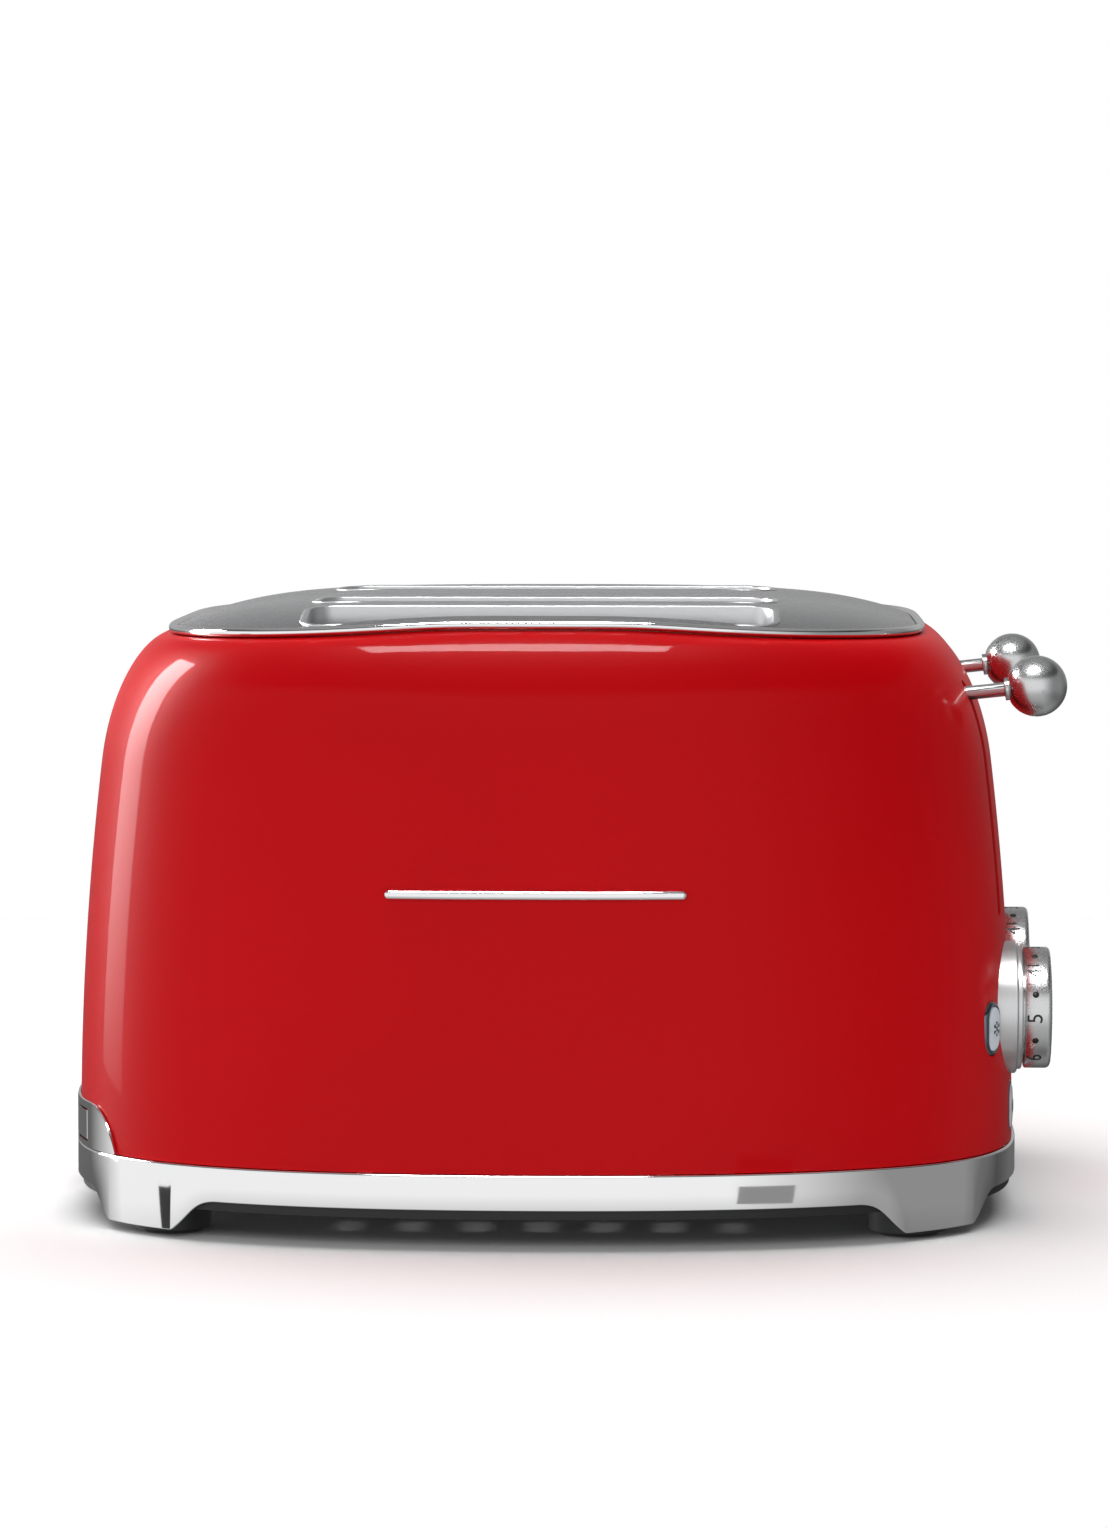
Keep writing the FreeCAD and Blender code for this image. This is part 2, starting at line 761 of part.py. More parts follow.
def make_carriage(y_mid):
    """Bracket, two bread shelves, two rod bosses and the latch plate of one module."""
    reach = slot_offset + shelf_width / 2.0
    bracket_face = carriage_x + carriage_thickness
    solid = box(carriage_x, bracket_face, y_mid - reach, y_mid + reach,
                shelf_height - carriage_drop, boss_top)
    pieces = []
    bores = []
    for offset in (-slot_offset, slot_offset):
        y = y_mid + offset
        pieces.append(box(-end_plate_x + shelf_end_gap, bracket_face, y - shelf_width / 2.0,
                          y + shelf_width / 2.0, shelf_height - shelf_thickness, shelf_height))
    for spread in (-rod_spread, rod_spread):
        y = y_mid + spread
        pieces.append(cylinder_z(boss_radius, boss_bottom, boss_top, rod_x, y))
        pieces.append(box(carriage_x, rod_x, y - boss_web / 2.0, y + boss_web / 2.0, boss_bottom, boss_top))
        bores.append(cylinder_z(rod_radius + rod_clearance, boss_bottom - 1.0, boss_top + 1.0, rod_x, y))
    latch_y = y_mid + latch_offset
    pieces.append(box(carriage_x, arm_x + latch_reach, latch_y - latch_width / 2.0,
                      latch_y + latch_width / 2.0, boss_bottom, boss_bottom + latch_thickness))
    return solid.fuse(pieces).cut(bores)


def lever_slope():
    """Direction of the tilted lever rod, outwards and up."""
    return Vec(math.cos(math.radians(lever_tilt)), 0.0, math.sin(math.radians(lever_tilt)))


def make_lever_arm(y_mid):
    """Upright strip on the carriage with the tilted rod and collar that carry the ball."""
    z_low = shelf_height - arm_drop
    z_high = lever_z_at(arm_x) + lever_rod_radius + arm_top_margin
    arm_face = arm_x + arm_thickness
    y_low, y_high = y_mid - arm_width / 2.0, y_mid + arm_width / 2.0
    strip = box(arm_x, arm_face, y_low, y_high, z_low, z_high)
    tongue = box(carriage_x + carriage_thickness + run_gap / 3.0, arm_face, y_low, y_high,
                 z_low, z_low + tongue_thickness)
    slope = lever_slope()
    start_x = arm_x + arm_thickness / 2.0
    start = Vec(start_x, y_mid, lever_z_at(start_x))
    centre = Vec(ball_x, y_mid, ball_z)
    tip = centre - slope * (ball_radius - ball_socket_floor)
    rod = Part.makeCylinder(lever_rod_radius, (tip - start).Length, start, slope)
    collar_start = centre - slope * (ball_radius - ball_flat + collar_gap + collar_length)
    collar = Part.makeCylinder(collar_radius, collar_length, collar_start, slope)
    return strip.fuse([tongue, rod, collar])


def make_lever_ball(y_mid):
    """Ball with a flat for the collar and a blind socket for the rod."""
    slope = lever_slope()
    centre = Vec(ball_x, y_mid, ball_z)
    ball = Part.makeSphere(ball_radius, centre)
    mouth = centre - slope * (2.0 * ball_radius)
    socket = Part.makeCylinder(lever_rod_radius + ball_socket_gap,
                               ball_radius + ball_socket_floor + rod_tip_gap, mouth, slope)
    flat = Part.makeCylinder(ball_radius, ball_radius + ball_flat, mouth, slope)
    return ball.cut([socket, flat])


def make_guide_rods(y_mid):
    rods = [cylinder_z(rod_radius, base_plate_top, rod_top, rod_x, y_mid + spread)
            for spread in (-rod_spread, rod_spread)]
    return Part.makeCompound(rods)


def make_return_spring(y_mid):
    """Open coil round one guide rod, from the base plate to the carriage boss."""
    z_low = base_plate_top + run_gap + spring_wire_radius
    z_high = boss_bottom - run_gap - spring_wire_radius
    helix = Part.makeHelix((z_high - z_low) / spring_turns, z_high - z_low, spring_radius)
    wire = Part.Wire(helix.Edges)
    circle = Part.Wire([Part.makeCircle(spring_wire_radius, Vec(spring_radius, 0, 0), Vec(0, 1, 0))])
    coil = wire.makePipeShell([circle], True, True)
    coil.translate(Vec(rod_x, y_mid - rod_spread, z_low))
    return coil


def make_hold_magnet(y_mid):
    """Magnet on a post, just under where the latch plate stops with the lever down."""
    size_x, size_y, size_z = magnet_size
    foot_x_size, foot_y_size, foot_z_size = magnet_foot
    y = y_mid + latch_offset
    top = boss_bottom - lever_travel - run_gap
    low = top - size_z
    core = box(arm_x - size_x / 2.0, arm_x + size_x / 2.0, y - size_y / 2.0, y + size_y / 2.0, low, top)
    post = box(arm_x - magnet_post / 2.0, arm_x + magnet_post / 2.0, y - magnet_post / 2.0,
               y + magnet_post / 2.0, base_plate_top, low + 1.0)
    foot = box(arm_x - foot_x_size / 2.0, arm_x + foot_x_size / 2.0, y - foot_y_size / 2.0,
               y + foot_y_size / 2.0, base_plate_top, base_plate_top + foot_z_size)
    return core.fuse([post, foot])


def make_dial(y_mid):
    y = control_y(y_mid)
    back = dial_face_x - dial_thickness
    cap = cylinder_x(dial_radius, back, dial_face_x, y, dial_z)
    rim = [edge for edge in cap.Edges if edge.BoundBox.XMin > dial_face_x - dial_edge]
    cap = cap.makeFillet(dial_edge, rim)
    stem = cylinder_x(dial_stem_radius, board_x + board_thickness + pot_bush_wall, back + dial_edge,
                      y, dial_z)
    skirt = cylinder_x(ring_bore_radius - pot_bush_wall, ring_face_x - dial_skirt_depth, back + dial_edge,
                       y, dial_z)
    return cap.fuse([stem, skirt])


def make_dial_ring(y_mid):
    """Stepped ring between the shell and the dial, scribed to the curved wall."""
    y = control_y(y_mid)
    outer = cylinder_x(ring_outer_radius, switch_face_x, ring_face_x - ring_step, y, dial_z)
    step = cylinder_x(ring_step_radius, switch_face_x, ring_face_x, y, dial_z)
    bore = cylinder_x(ring_bore_radius - ring_neck_wall, board_x, dial_face_x, y, dial_z)
    ring = outer.fuse(step).cut(bore)
    neck = cylinder_x(ring_bore_radius - run_gap, switch_face_x, ring_face_x, y, dial_z)
    proud = ring.cut(body_loft(-rear_panel_gap, 0.0, shell_bottom, crown_start_x))
    through = ring.common(neck).common(body_loft(-2.0 * rear_panel_gap, 0.0, shell_bottom, crown_start_x))
    through = through.cut(body_loft(ring_neck_reach, 0.0, shell_bottom, crown_start_x))
    return proud.fuse(through)


def make_potentiometer(y_mid):
    y = control_y(y_mid)
    x0 = board_x + board_thickness + pot_gap
    x1 = x0 + pot_length
    x2 = x1 + pot_bush_length
    body = cylinder_x(pot_radius, x0, x1, y, dial_z)
    bush = cylinder_x(dial_stem_radius + pot_bush_wall, x0, x2, y, dial_z)
    bore = cylinder_x(dial_stem_radius + rod_clearance, x0 + 1.0, x2 + 1.0, y, dial_z)
    return body.fuse(bush).cut(bore)


def make_button(y, z):
    """Cap whose face leans with the wall, on a stem that stops short of its switch."""
    wall = wall_x(y, z)
    back = wall - button_depth
    cap = button_prism(back, part_reach_x, y, z, -button_fit).cut(beyond_wall(y, z, button_proud))
    stem = cylinder_x(button_stem_radius, switch_face_x + button_travel + run_gap, back + 1.0, y, z)
    return cap.fuse(stem)


def make_button_bezels():
    bezels = []
    for y, z in button_places():
        back = wall_x(y, z) - bezel_depth
        bezel = button_prism(back, part_reach_x, y, z, bezel_wall - bezel_fit)
        bezel = bezel.cut(beyond_wall(y, z, bezel_proud))
        bezels.append(bezel.cut(button_prism(back - 1.0, part_reach_x + 1.0, y, z, 0.0)))
    return Part.makeCompound(bezels)


def make_control_board(y_mid):
    """Upright circuit board with three push switches."""
    y_board = control_y(y_mid)
    board = box(board_x, board_x + board_thickness, y_board - board_half_width,
                y_board + board_half_width, base_plate_top + run_gap, board_top)
    board = board.common(body_loft(shell_wall + inner_gap, shell_wall + inner_gap,
                                   base_plate_bottom, crown_start_x))
    switches = []
    for y, z in button_places():
        if y * y_mid > 0:
            switches.append(box(board_x + board_thickness - 0.1, switch_face_x,
                                y - switch_width / 2.0, y + switch_width / 2.0,
                                z - switch_width / 2.0, z + switch_width / 2.0))
    return board.fuse(switches)


def make_crumb_tray(y_mid):
    side = 1.0 if y_mid > 0 else -1.0
    y_low, y_high = sorted((side * (tray_inner_y + tray_gap), side * (tray_outer_y - tray_gap)))
    z_high = tray_floor_z + tray_height
    tray_front_x = end_plate_x - tray_front_gap
    pan = box(-part_reach_x, tray_front_x, y_low, y_high, tray_floor_z, z_high)
    pan = pan.cut(box(-part_reach_x - 1.0, tray_front_x - tray_wall, y_low + tray_wall, y_high - tray_wall,
                      tray_floor_z + tray_wall, z_high + 1.0))
    pan = pan.common(base_prism(band_proud - tray_lip_gap, shell_bottom, z_high + 1.0))
    z_face_low, z_face_high = tray_floor_z - tray_mouth_margin, z_high + tray_mouth_margin
    face = base_prism(band_proud, z_face_low, z_face_high)
    face = face.cut(base_prism(rear_panel_gap, z_face_low - 1.0, z_face_high + 1.0))
    face = face.common(box(-part_reach_x, -end_plate_x, y_low, y_high, z_face_low, z_face_high))
    return pan.fuse(face)


def make_chassis_screws():
    """Screws that hold the end plates' feet to the base plate."""
    screws = []
    for side in (-1, 1):
        for y in (-plate_foot_y, plate_foot_y):
            x = side * (end_plate_x + plate_foot_reach / 2.0)
            z = base_plate_top + plate_foot_thickness + screw_gap
            screws.append(cylinder_z(screw_head_radius, z, z + screw_head_height, x, y))
    return Part.makeCompound(screws)


def make_badge_bar():
    """Plain slim trim bar on the long face."""
    y_wall = -half_sizes(badge_z + badge_height)[1]
    bar = box(-badge_length / 2.0, badge_length / 2.0, y_wall - badge_proud, 0.0,
              badge_z - badge_height / 2.0, badge_z + badge_height / 2.0)
    return bar.cut(body_loft(-rear_panel_gap, 0.0, shell_bottom, crown_start_x))


def save(shape, name):
    moved = shape.copy()
    moved.translate(Vec(body_x, 0, 0))
    moved.exportStep("parts/%s.step" % name)


def main():
    os.makedirs("parts", exist_ok=True)
    save(make_outer_shell(), "outer_shell")
    save(make_top_panel(), "top_panel")
    save(make_top_bead(), "top_bead")
    save(make_base_band(), "base_band")
    save(make_rear_panel(), "rear_panel")
    save(make_base_plate(), "base_plate")
    save(make_cord_gland(), "cord_gland")
    for number, (x, y) in enumerate(foot_places(), 1):
        save(make_foot_block(x, y), "foot_block_%d" % number)
        save(make_foot_pad(x, y), "foot_pad_%d" % number)
    save(make_end_plate(1), "front_end_plate")
    save(make_end_plate(-1), "rear_end_plate")
    for number, y in slot_centres():
        save(make_slot_liner(y), "slot_liner_%d" % number)
        save(make_heater_boards(y), "heater_boards_%d" % number)
    for number, y_mid in modules:
        save(make_bread_guide(y_mid, -1), "bread_guide_near_%d" % number)
        save(make_bread_guide(y_mid, 1), "bread_guide_far_%d" % number)
        save(make_carriage(y_mid), "bread_carriage_%d" % number)
        save(make_lever_arm(y_mid), "lever_arm_%d" % number)
        save(make_lever_ball(y_mid), "lever_ball_%d" % number)
        save(make_guide_rods(y_mid), "guide_rods_%d" % number)
        save(make_return_spring(y_mid), "return_spring_%d" % number)
        save(make_hold_magnet(y_mid), "hold_magnet_%d" % number)
        save(make_dial(y_mid), "dial_%d" % number)
        save(make_dial_ring(y_mid), "dial_ring_%d" % number)
        save(make_potentiometer(y_mid), "potentiometer_%d" % number)
        save(make_control_board(y_mid), "control_board_%d" % number)
        save(make_crumb_tray(y_mid), "crumb_tray_%d" % number)
    for number, (y, z) in enumerate(button_places(), 1):
        save(make_button(y, z), "push_button_%d" % number)
    save(make_button_bezels(), "button_bezels")
    save(make_chassis_screws(), "chassis_screws")
    save(make_badge_bar(), "badge_bar")


main()
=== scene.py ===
import math

import bmesh
import bpy
import numpy as np
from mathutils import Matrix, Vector


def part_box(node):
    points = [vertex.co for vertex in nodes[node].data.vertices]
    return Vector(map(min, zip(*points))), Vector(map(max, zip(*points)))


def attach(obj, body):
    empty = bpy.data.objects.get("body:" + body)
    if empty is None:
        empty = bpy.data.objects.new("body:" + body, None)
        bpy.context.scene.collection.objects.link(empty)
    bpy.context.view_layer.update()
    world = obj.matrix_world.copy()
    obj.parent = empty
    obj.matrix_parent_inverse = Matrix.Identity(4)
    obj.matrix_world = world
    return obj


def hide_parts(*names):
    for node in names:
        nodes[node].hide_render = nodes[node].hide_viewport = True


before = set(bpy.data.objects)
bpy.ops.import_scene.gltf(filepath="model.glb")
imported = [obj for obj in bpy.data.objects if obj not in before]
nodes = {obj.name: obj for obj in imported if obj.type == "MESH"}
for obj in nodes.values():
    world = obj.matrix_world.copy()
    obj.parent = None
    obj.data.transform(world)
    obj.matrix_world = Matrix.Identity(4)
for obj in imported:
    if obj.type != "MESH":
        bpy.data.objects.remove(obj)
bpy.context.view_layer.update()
mm = 0.001
print("frame loaded:", len(nodes), "nodes")


def boxMm(node):
    # lowest and highest corner of a CAD node, in millimetres
    low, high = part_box(node)
    return np.array(low) / mm, np.array(high) / mm


shellLow, shellHigh = boxMm("outer_shell")
bandLow, bandHigh = boxMm("base_band")
midX = (shellLow[0] + shellHigh[0]) / 2


def closeMesh(name, points, faces, weld=True):
    # points in mm and faces to an object: doubles merged, normals outwards, smooth
    mesh = bpy.data.meshes.new(name)
    mesh.from_pydata((points.reshape(-1, 3) * mm).tolist(), [], faces.tolist())
    work = bmesh.new()
    work.from_mesh(mesh)
    if weld:
        bmesh.ops.remove_doubles(work, verts=work.verts, dist=2e-7)
        bmesh.ops.dissolve_degenerate(work, edges=work.edges, dist=1e-8)
    bmesh.ops.recalc_face_normals(work, faces=work.faces)
    work.to_mesh(mesh)
    work.free()
    mesh.polygons.foreach_set("use_smooth", np.ones(len(mesh.polygons), bool))
    piece = bpy.data.objects.new(name, mesh)
    bpy.context.scene.collection.objects.link(piece)
    return piece


def gridFaces(rows, columns, wrapRows, wrapColumns):
    # quads between neighbouring rows and columns of a grid, joined round where asked
    r = np.arange(rows if wrapRows else rows - 1)
    c = np.arange(columns if wrapColumns else columns - 1)
    r, c = np.meshgrid(r, c, indexing="ij")
    r2 = (r + 1) % rows
    c2 = (c + 1) % columns
    corners = [r * columns + c, r2 * columns + c, r2 * columns + c2, r * columns + c2]
    return np.stack(corners, -1).reshape(-1, 4)


def gridPiece(name, points, wrapRows=True, wrapColumns=True):
    rows, columns = points.shape[:2]
    return closeMesh(name, points, gridFaces(rows, columns, wrapRows, wrapColumns))


def carried(path, side, profile):
    # a closed profile (out, rise) carried along a level path, out along side and rise straight up
    profile = np.asarray(profile, float)
    if profile.ndim == 2:
        profile = np.broadcast_to(profile, (len(path),) + profile.shape)
    return path[:, None] + profile[..., 0:1] * side[:, None] + profile[..., 1:2] * np.array([0.0, 0.0, 1.0])


def turned(profile, centre, axis, steps=72):
    # a profile (along, radius) turned about an axis through centre
    profile = np.asarray(profile, float)
    axis = np.asarray(axis, float) / np.linalg.norm(axis)
    across = np.cross(axis, [0, 1, 0])
    across /= np.linalg.norm(across)
    other = np.cross(axis, across)
    swing = np.linspace(0, 2 * math.pi, steps, endpoint=False)[:, None, None]
    ring = np.cos(swing) * across + np.sin(swing) * other
    return np.asarray(centre, float) + profile[None, :, 0:1] * axis + profile[None, :, 1:2] * ring


def arc(centreA, centreB, radius, start, stop, count):
    # points of a round corner, angles in degrees
    swing = np.radians(np.linspace(start, stop, count))
    return np.stack([centreA + radius * np.cos(swing), centreB + radius * np.sin(swing)], -1)


def circle(count):
    # unit circle, anticlockwise
    swing = np.linspace(0, 2 * math.pi, count, endpoint=False)
    return np.stack([np.cos(swing), np.sin(swing)], -1)


def joined(*parts):
    return np.concatenate([np.atleast_2d(np.asarray(part, float)) for part in parts])


def addCut(name, cutters):
    # the cutters' shape taken out of a piece, and the cutters thrown away
    piece = bpy.data.objects[name]
    for index, cutter in enumerate(cutters):
        change = piece.modifiers.new("cut%d" % index, "BOOLEAN")
        change.object = cutter
        change.solver = "EXACT"
    bpy.context.view_layer.update()
    graph = bpy.context.evaluated_depsgraph_get()
    cutMesh = bpy.data.meshes.new_from_object(piece.evaluated_get(graph))
    piece.modifiers.clear()
    piece.data = cutMesh
    for cutter in cutters:
        bpy.data.objects.remove(cutter)
    return piece


def spotsOf(mesh):
    # a mesh's vertices, in the units it holds
    spots = np.zeros(len(mesh.vertices) * 3)
    mesh.vertices.foreach_get("co", spots)
    return spots.reshape(-1, 3)


def sharpen(piece, degrees):
    # edges that turn more than this stay crisp
    work = bmesh.new()
    work.from_mesh(piece.data)
    limit = math.radians(degrees)
    for edge in work.edges:
        edge.smooth = not (len(edge.link_faces) == 2 and edge.calc_face_angle() > limit)
    work.to_mesh(piece.data)
    work.free()


def setNormals(piece, normalAt):
    # exact surface normals where a face lies within about 30 degrees of the skin, its own on cut walls
    mesh = piece.data
    count = len(mesh.loops)
    vertexOf = np.zeros(count, int)
    mesh.loops.foreach_get("vertex_index", vertexOf)
    exact = normalAt(spotsOf(mesh) / mm)[vertexOf]
    faceNormal = np.zeros(len(mesh.polygons) * 3)
    mesh.polygons.foreach_get("normal", faceNormal)
    faceNormal = faceNormal.reshape(-1, 3)
    starts = np.zeros(len(mesh.polygons), int)
    totals = np.zeros(len(mesh.polygons), int)
    mesh.polygons.foreach_get("loop_start", starts)
    mesh.polygons.foreach_get("loop_total", totals)
    owner = np.repeat(np.arange(len(starts)), totals)
    order = np.concatenate([np.arange(s, s + t) for s, t in zip(starts, totals)])
    own = np.zeros((count, 3))
    own[order] = faceNormal[owner]
    agree = np.sum(own * exact, -1, keepdims=True)
    close = 0.86
    chosen = np.where(agree > close, exact, np.where(agree < -close, -exact, own))
    mesh.normals_split_custom_set(chosen.tolist())


def boxCutter(low, high):
    corners = np.array([[x, y, z] for x in (low[0], high[0]) for y in (low[1], high[1])
                        for z in (low[2], high[2])])
    faces = np.array([[0, 1, 3, 2], [4, 6, 7, 5], [0, 4, 5, 1], [2, 3, 7, 6], [0, 2, 6, 4], [1, 5, 7, 3]])
    return closeMesh("cutter", corners, faces, weld=False)


def stadiumPath(halfLong, halfWide, perEnd, perSide=2):
    # closed outline with half-round ends: (across, along) and its outward normal
    swing = np.linspace(0, math.pi, perEnd)
    end = np.stack([np.cos(swing), np.sin(swing)], -1)
    straight = halfLong - halfWide
    climb = np.linspace(-1, 1, perSide + 1)[1:-1, None] * straight
    zero = climb * 0
    points = joined(np.concatenate([zero + halfWide, climb], 1), end * halfWide + [0, straight],
                    np.concatenate([zero - halfWide, -climb], 1), -end * halfWide - [0, straight])
    normals = joined(np.concatenate([zero + 1, zero], 1), end, np.concatenate([zero - 1, zero], 1), -end)
    return points, normals


def roundedPath(halfLong, halfWide, corner, perCorner):
    # closed outline of a rectangle with round corners, and its outward normal
    points = []
    normals = []
    for turn, (sx, sy) in enumerate(((1, 1), (-1, 1), (-1, -1), (1, -1))):
        swing = np.radians(np.linspace(turn * 90, turn * 90 + 90, perCorner))
        ring = np.stack([np.cos(swing), np.sin(swing)], -1)
        points.append(np.array([sx * (halfLong - corner), sy * (halfWide - corner)]) + corner * ring)
        normals.append(ring)
    return np.concatenate(points), np.concatenate(normals)


def finished(piece, body, slot, material, *stoodFor):
    # rides on its body, stands for its CAD nodes and wears its material
    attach(piece, body)
    if stoodFor:
        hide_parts(*stoodFor)
    piece.data.materials.clear()
    piece.data.materials.append(material)
    return piece


def colour(hexText):
    # sRGB hex to linear
    values = [int(hexText[i:i + 2], 16) / 255 for i in (1, 3, 5)]
    return tuple(v / 12.92 if v <= 0.04045 else ((v + 0.055) / 1.055) ** 2.4 for v in values) + (1.0,)


def wire(tree, node, links):
    for key, source in links.items():
        tree.links.new(source, node.inputs[key])


def addNode(tree, kind, settings=None, links=None):
    # settings go to sockets or properties, and "stops" are a colour ramp's (position, colour) pairs
    node = tree.nodes.new(kind)
    for key, value in (settings or {}).items():
        if key == "stops":
            keys = node.color_ramp.elements
            while len(keys) < len(value):
                keys.new(0.5)
            for stop, (position, tone) in zip(keys, value):
                stop.position = position
            for stop, (position, tone) in zip(keys, value):
                stop.color = tone
        elif key in node.inputs.keys():
            node.inputs[key].default_value = value
        else:
            setattr(node, key, value)
    wire(tree, node, links or {})
    return node


def newMaterial(name, surface):
    material = bpy.data.materials.new(name)
    material.use_nodes = True
    tree = material.node_tree
    shader = tree.nodes["Principled BSDF"]
    for key, value in surface.items():
        shader.inputs[key].default_value = value
    place = addNode(tree, "ShaderNodeTexCoord").outputs["Object"]
    return material, tree, shader, place


def grey(value):
    return (value, value, value, 1.0)


def perMetre(millimetres):
    # texture scale for one feature every so many millimetres
    return 1000.0 / millimetres


def enamelMaterial(name, hexText):
    # stoved gloss enamel on pressed steel: deep colour under a clear hard gloss, faint orange peel
    material, tree, shader, place = newMaterial(name, {
        "Roughness": 0.4, "IOR": 1.5, "Coat Weight": 0.12, "Coat Roughness": 0.03, "Coat IOR": 1.5,
        "Specular IOR Level": 0.03})
    peel = addNode(tree, "ShaderNodeTexNoise", {"Scale": perMetre(2.4), "Detail": 2.0}, {"Vector": place})
    drift = addNode(tree, "ShaderNodeTexNoise", {"Scale": perMetre(90), "Detail": 1.0}, {"Vector": place})
    base = colour(hexText)
    darker = tuple(v * 0.965 for v in base[:3]) + (1.0,)
    tone = addNode(tree, "ShaderNodeValToRGB", {"stops": [(0.35, darker), (0.65, base)]},
                   {"Fac": drift.outputs["Fac"]})
    bump = addNode(tree, "ShaderNodeBump", {"Strength": 0.02, "Distance": 0.02 * mm},
                   {"Height": peel.outputs["Fac"]})
    wire(tree, shader, {"Base Color": tone.outputs["Color"], "Normal": bump.outputs["Normal"]})
    return material


def brushedMaterial(name, hexText, roughness, grainMm, stretch, depth):
    # satin brushed stainless steel: fine straight grain that spreads the light along one way
    material, tree, shader, place = newMaterial(name, {"Metallic": 1.0, "Roughness": roughness})
    lined = addNode(tree, "ShaderNodeMapping", {"Scale": stretch}, {"Vector": place})
    grain = addNode(tree, "ShaderNodeTexNoise", {"Scale": perMetre(grainMm), "Detail": 3.0},
                    {"Vector": lined.outputs["Vector"]})
    base = colour(hexText)
    shade = tuple(v * 0.97 for v in base[:3]) + (1.0,)
    tone = addNode(tree, "ShaderNodeValToRGB", {"stops": [(0.3, shade), (0.7, base)]},
                   {"Fac": grain.outputs["Fac"]})
    rough = addNode(tree, "ShaderNodeValToRGB",
                    {"stops": [(0.3, grey(roughness * 0.92)), (0.7, grey(roughness * 1.08))]},
                    {"Fac": grain.outputs["Fac"]})
    bump = addNode(tree, "ShaderNodeBump", {"Strength": 0.05, "Distance": depth * mm},
                   {"Height": grain.outputs["Fac"]})
    wire(tree, shader, {"Base Color": tone.outputs["Color"], "Roughness": rough.outputs["Color"],
                        "Normal": bump.outputs["Normal"]})
    return material


def chromeMaterial(name, hexText, roughness):
    # bright chrome plate: mirror finish with the faint cloudiness of hand wiping
    material, tree, shader, place = newMaterial(name, {"Metallic": 1.0, "Base Color": colour(hexText)})
    haze = addNode(tree, "ShaderNodeTexNoise", {"Scale": perMetre(14), "Detail": 4.0}, {"Vector": place})
    rough = addNode(tree, "ShaderNodeValToRGB",
                    {"stops": [(0.3, grey(roughness * 0.6)), (0.75, grey(roughness * 1.5))]},
                    {"Fac": haze.outputs["Fac"]})
    wire(tree, shader, {"Roughness": rough.outputs["Color"]})
    return material


def plasticMaterial(name, hexText, roughness, grainMm, depth):
    # moulded plastic or rubber: matt, with the pebble of its mould
    material, tree, shader, place = newMaterial(name, {"Roughness": roughness, "IOR": 1.5})
    pebble = addNode(tree, "ShaderNodeTexNoise", {"Scale": perMetre(grainMm), "Detail": 3.0},
                     {"Vector": place})
    base = colour(hexText)
    shade = tuple(v * 0.82 for v in base[:3]) + (1.0,)
    tone = addNode(tree, "ShaderNodeValToRGB", {"stops": [(0.3, shade), (0.7, base)]},
                   {"Fac": pebble.outputs["Fac"]})
    bump = addNode(tree, "ShaderNodeBump", {"Strength": 0.15, "Distance": depth * mm},
                   {"Height": pebble.outputs["Fac"]})
    wire(tree, shader, {"Base Color": tone.outputs["Color"], "Normal": bump.outputs["Normal"]})
    return material


def micaMaterial():
    # pressed mica board: pale brown sheet with pearly flakes
    material, tree, shader, place = newMaterial("pressed mica", {"Roughness": 0.45, "IOR": 1.58})
    flakes = addNode(tree, "ShaderNodeTexVoronoi", {"Scale": perMetre(3.0)}, {"Vector": place})
    tone = addNode(tree, "ShaderNodeValToRGB", {"stops": [(0.1, colour("#C9B79A")), (0.6, colour("#8C7758"))]},
                   {"Fac": flakes.outputs["Distance"]})
    wire(tree, shader, {"Base Color": tone.outputs["Color"]})
    return material


def boardMaterial():
    # glass-fibre circuit board: green solder mask over a faint weave
    material, tree, shader, place = newMaterial("green circuit board", {"Roughness": 0.35, "IOR": 1.55})
    weave = addNode(tree, "ShaderNodeTexWave", {"Scale": perMetre(4.0), "Distortion": 0.4}, {"Vector": place})
    tone = addNode(tree, "ShaderNodeValToRGB", {"stops": [(0.2, colour("#0E4A2B")), (0.8, colour("#156B3E"))]},
                   {"Fac": weave.outputs["Fac"]})
    wire(tree, shader, {"Base Color": tone.outputs["Color"]})
    return material


finishes = {"red": "#C6060F", "satin": "#B9BABC", "chrome": "#EDEDEE", "knob": "#D6D7D8"}
redEnamel = enamelMaterial("stoved red enamel", finishes["red"])
satinSteel = brushedMaterial("satin brushed stainless steel", finishes["satin"], 0.26, 0.5, (0.03, 1.0, 1.0),
                             0.01)
lipSteel = brushedMaterial("satin stainless lip", "#D2D3D5", 0.36, 0.4, (0.05, 1.0, 1.0), 0.001)
brightChrome = chromeMaterial("bright chrome plate", finishes["chrome"], 0.05)
satinChrome = brushedMaterial("satin chrome plate", finishes["knob"], 0.27, 0.35, (1.0, 1.0, 1.0), 0.001)
mattChrome = brushedMaterial("bead blasted chrome plate", "#DADBDC", 0.38, 0.3, (1.0, 1.0, 1.0), 0.005)
darkChrome = chromeMaterial("dark chrome plate", "#6E7780", 0.12)
spunSteel = brushedMaterial("zinc plated steel sheet", "#A9ABAC", 0.34, 1.2, (0.2, 1.0, 1.0), 0.01)
polishedLiner = brushedMaterial("bright aluminised steel", "#D3D4D5", 0.16, 1.5, (1.0, 1.0, 0.1), 0.01)
blackNylon = plasticMaterial("black glass-filled nylon", "#17181A", 0.5, 0.8, 0.03)
blackRubber = plasticMaterial("black moulded rubber", "#1B1B1C", 0.8, 0.6, 0.05)
paleAcrylic = plasticMaterial("pale blue translucent acrylic", "#DCE6EE", 0.22, 6.0, 0.0)
blackInk = plasticMaterial("black pad-printed ink", "#101112", 0.45, 1.0, 0.0)
nichromeCopper = plasticMaterial("enamelled copper winding", "#8A4A22", 0.35, 1.0, 0.02)
mica = micaMaterial()
greenBoard = boardMaterial()
print("materials made")


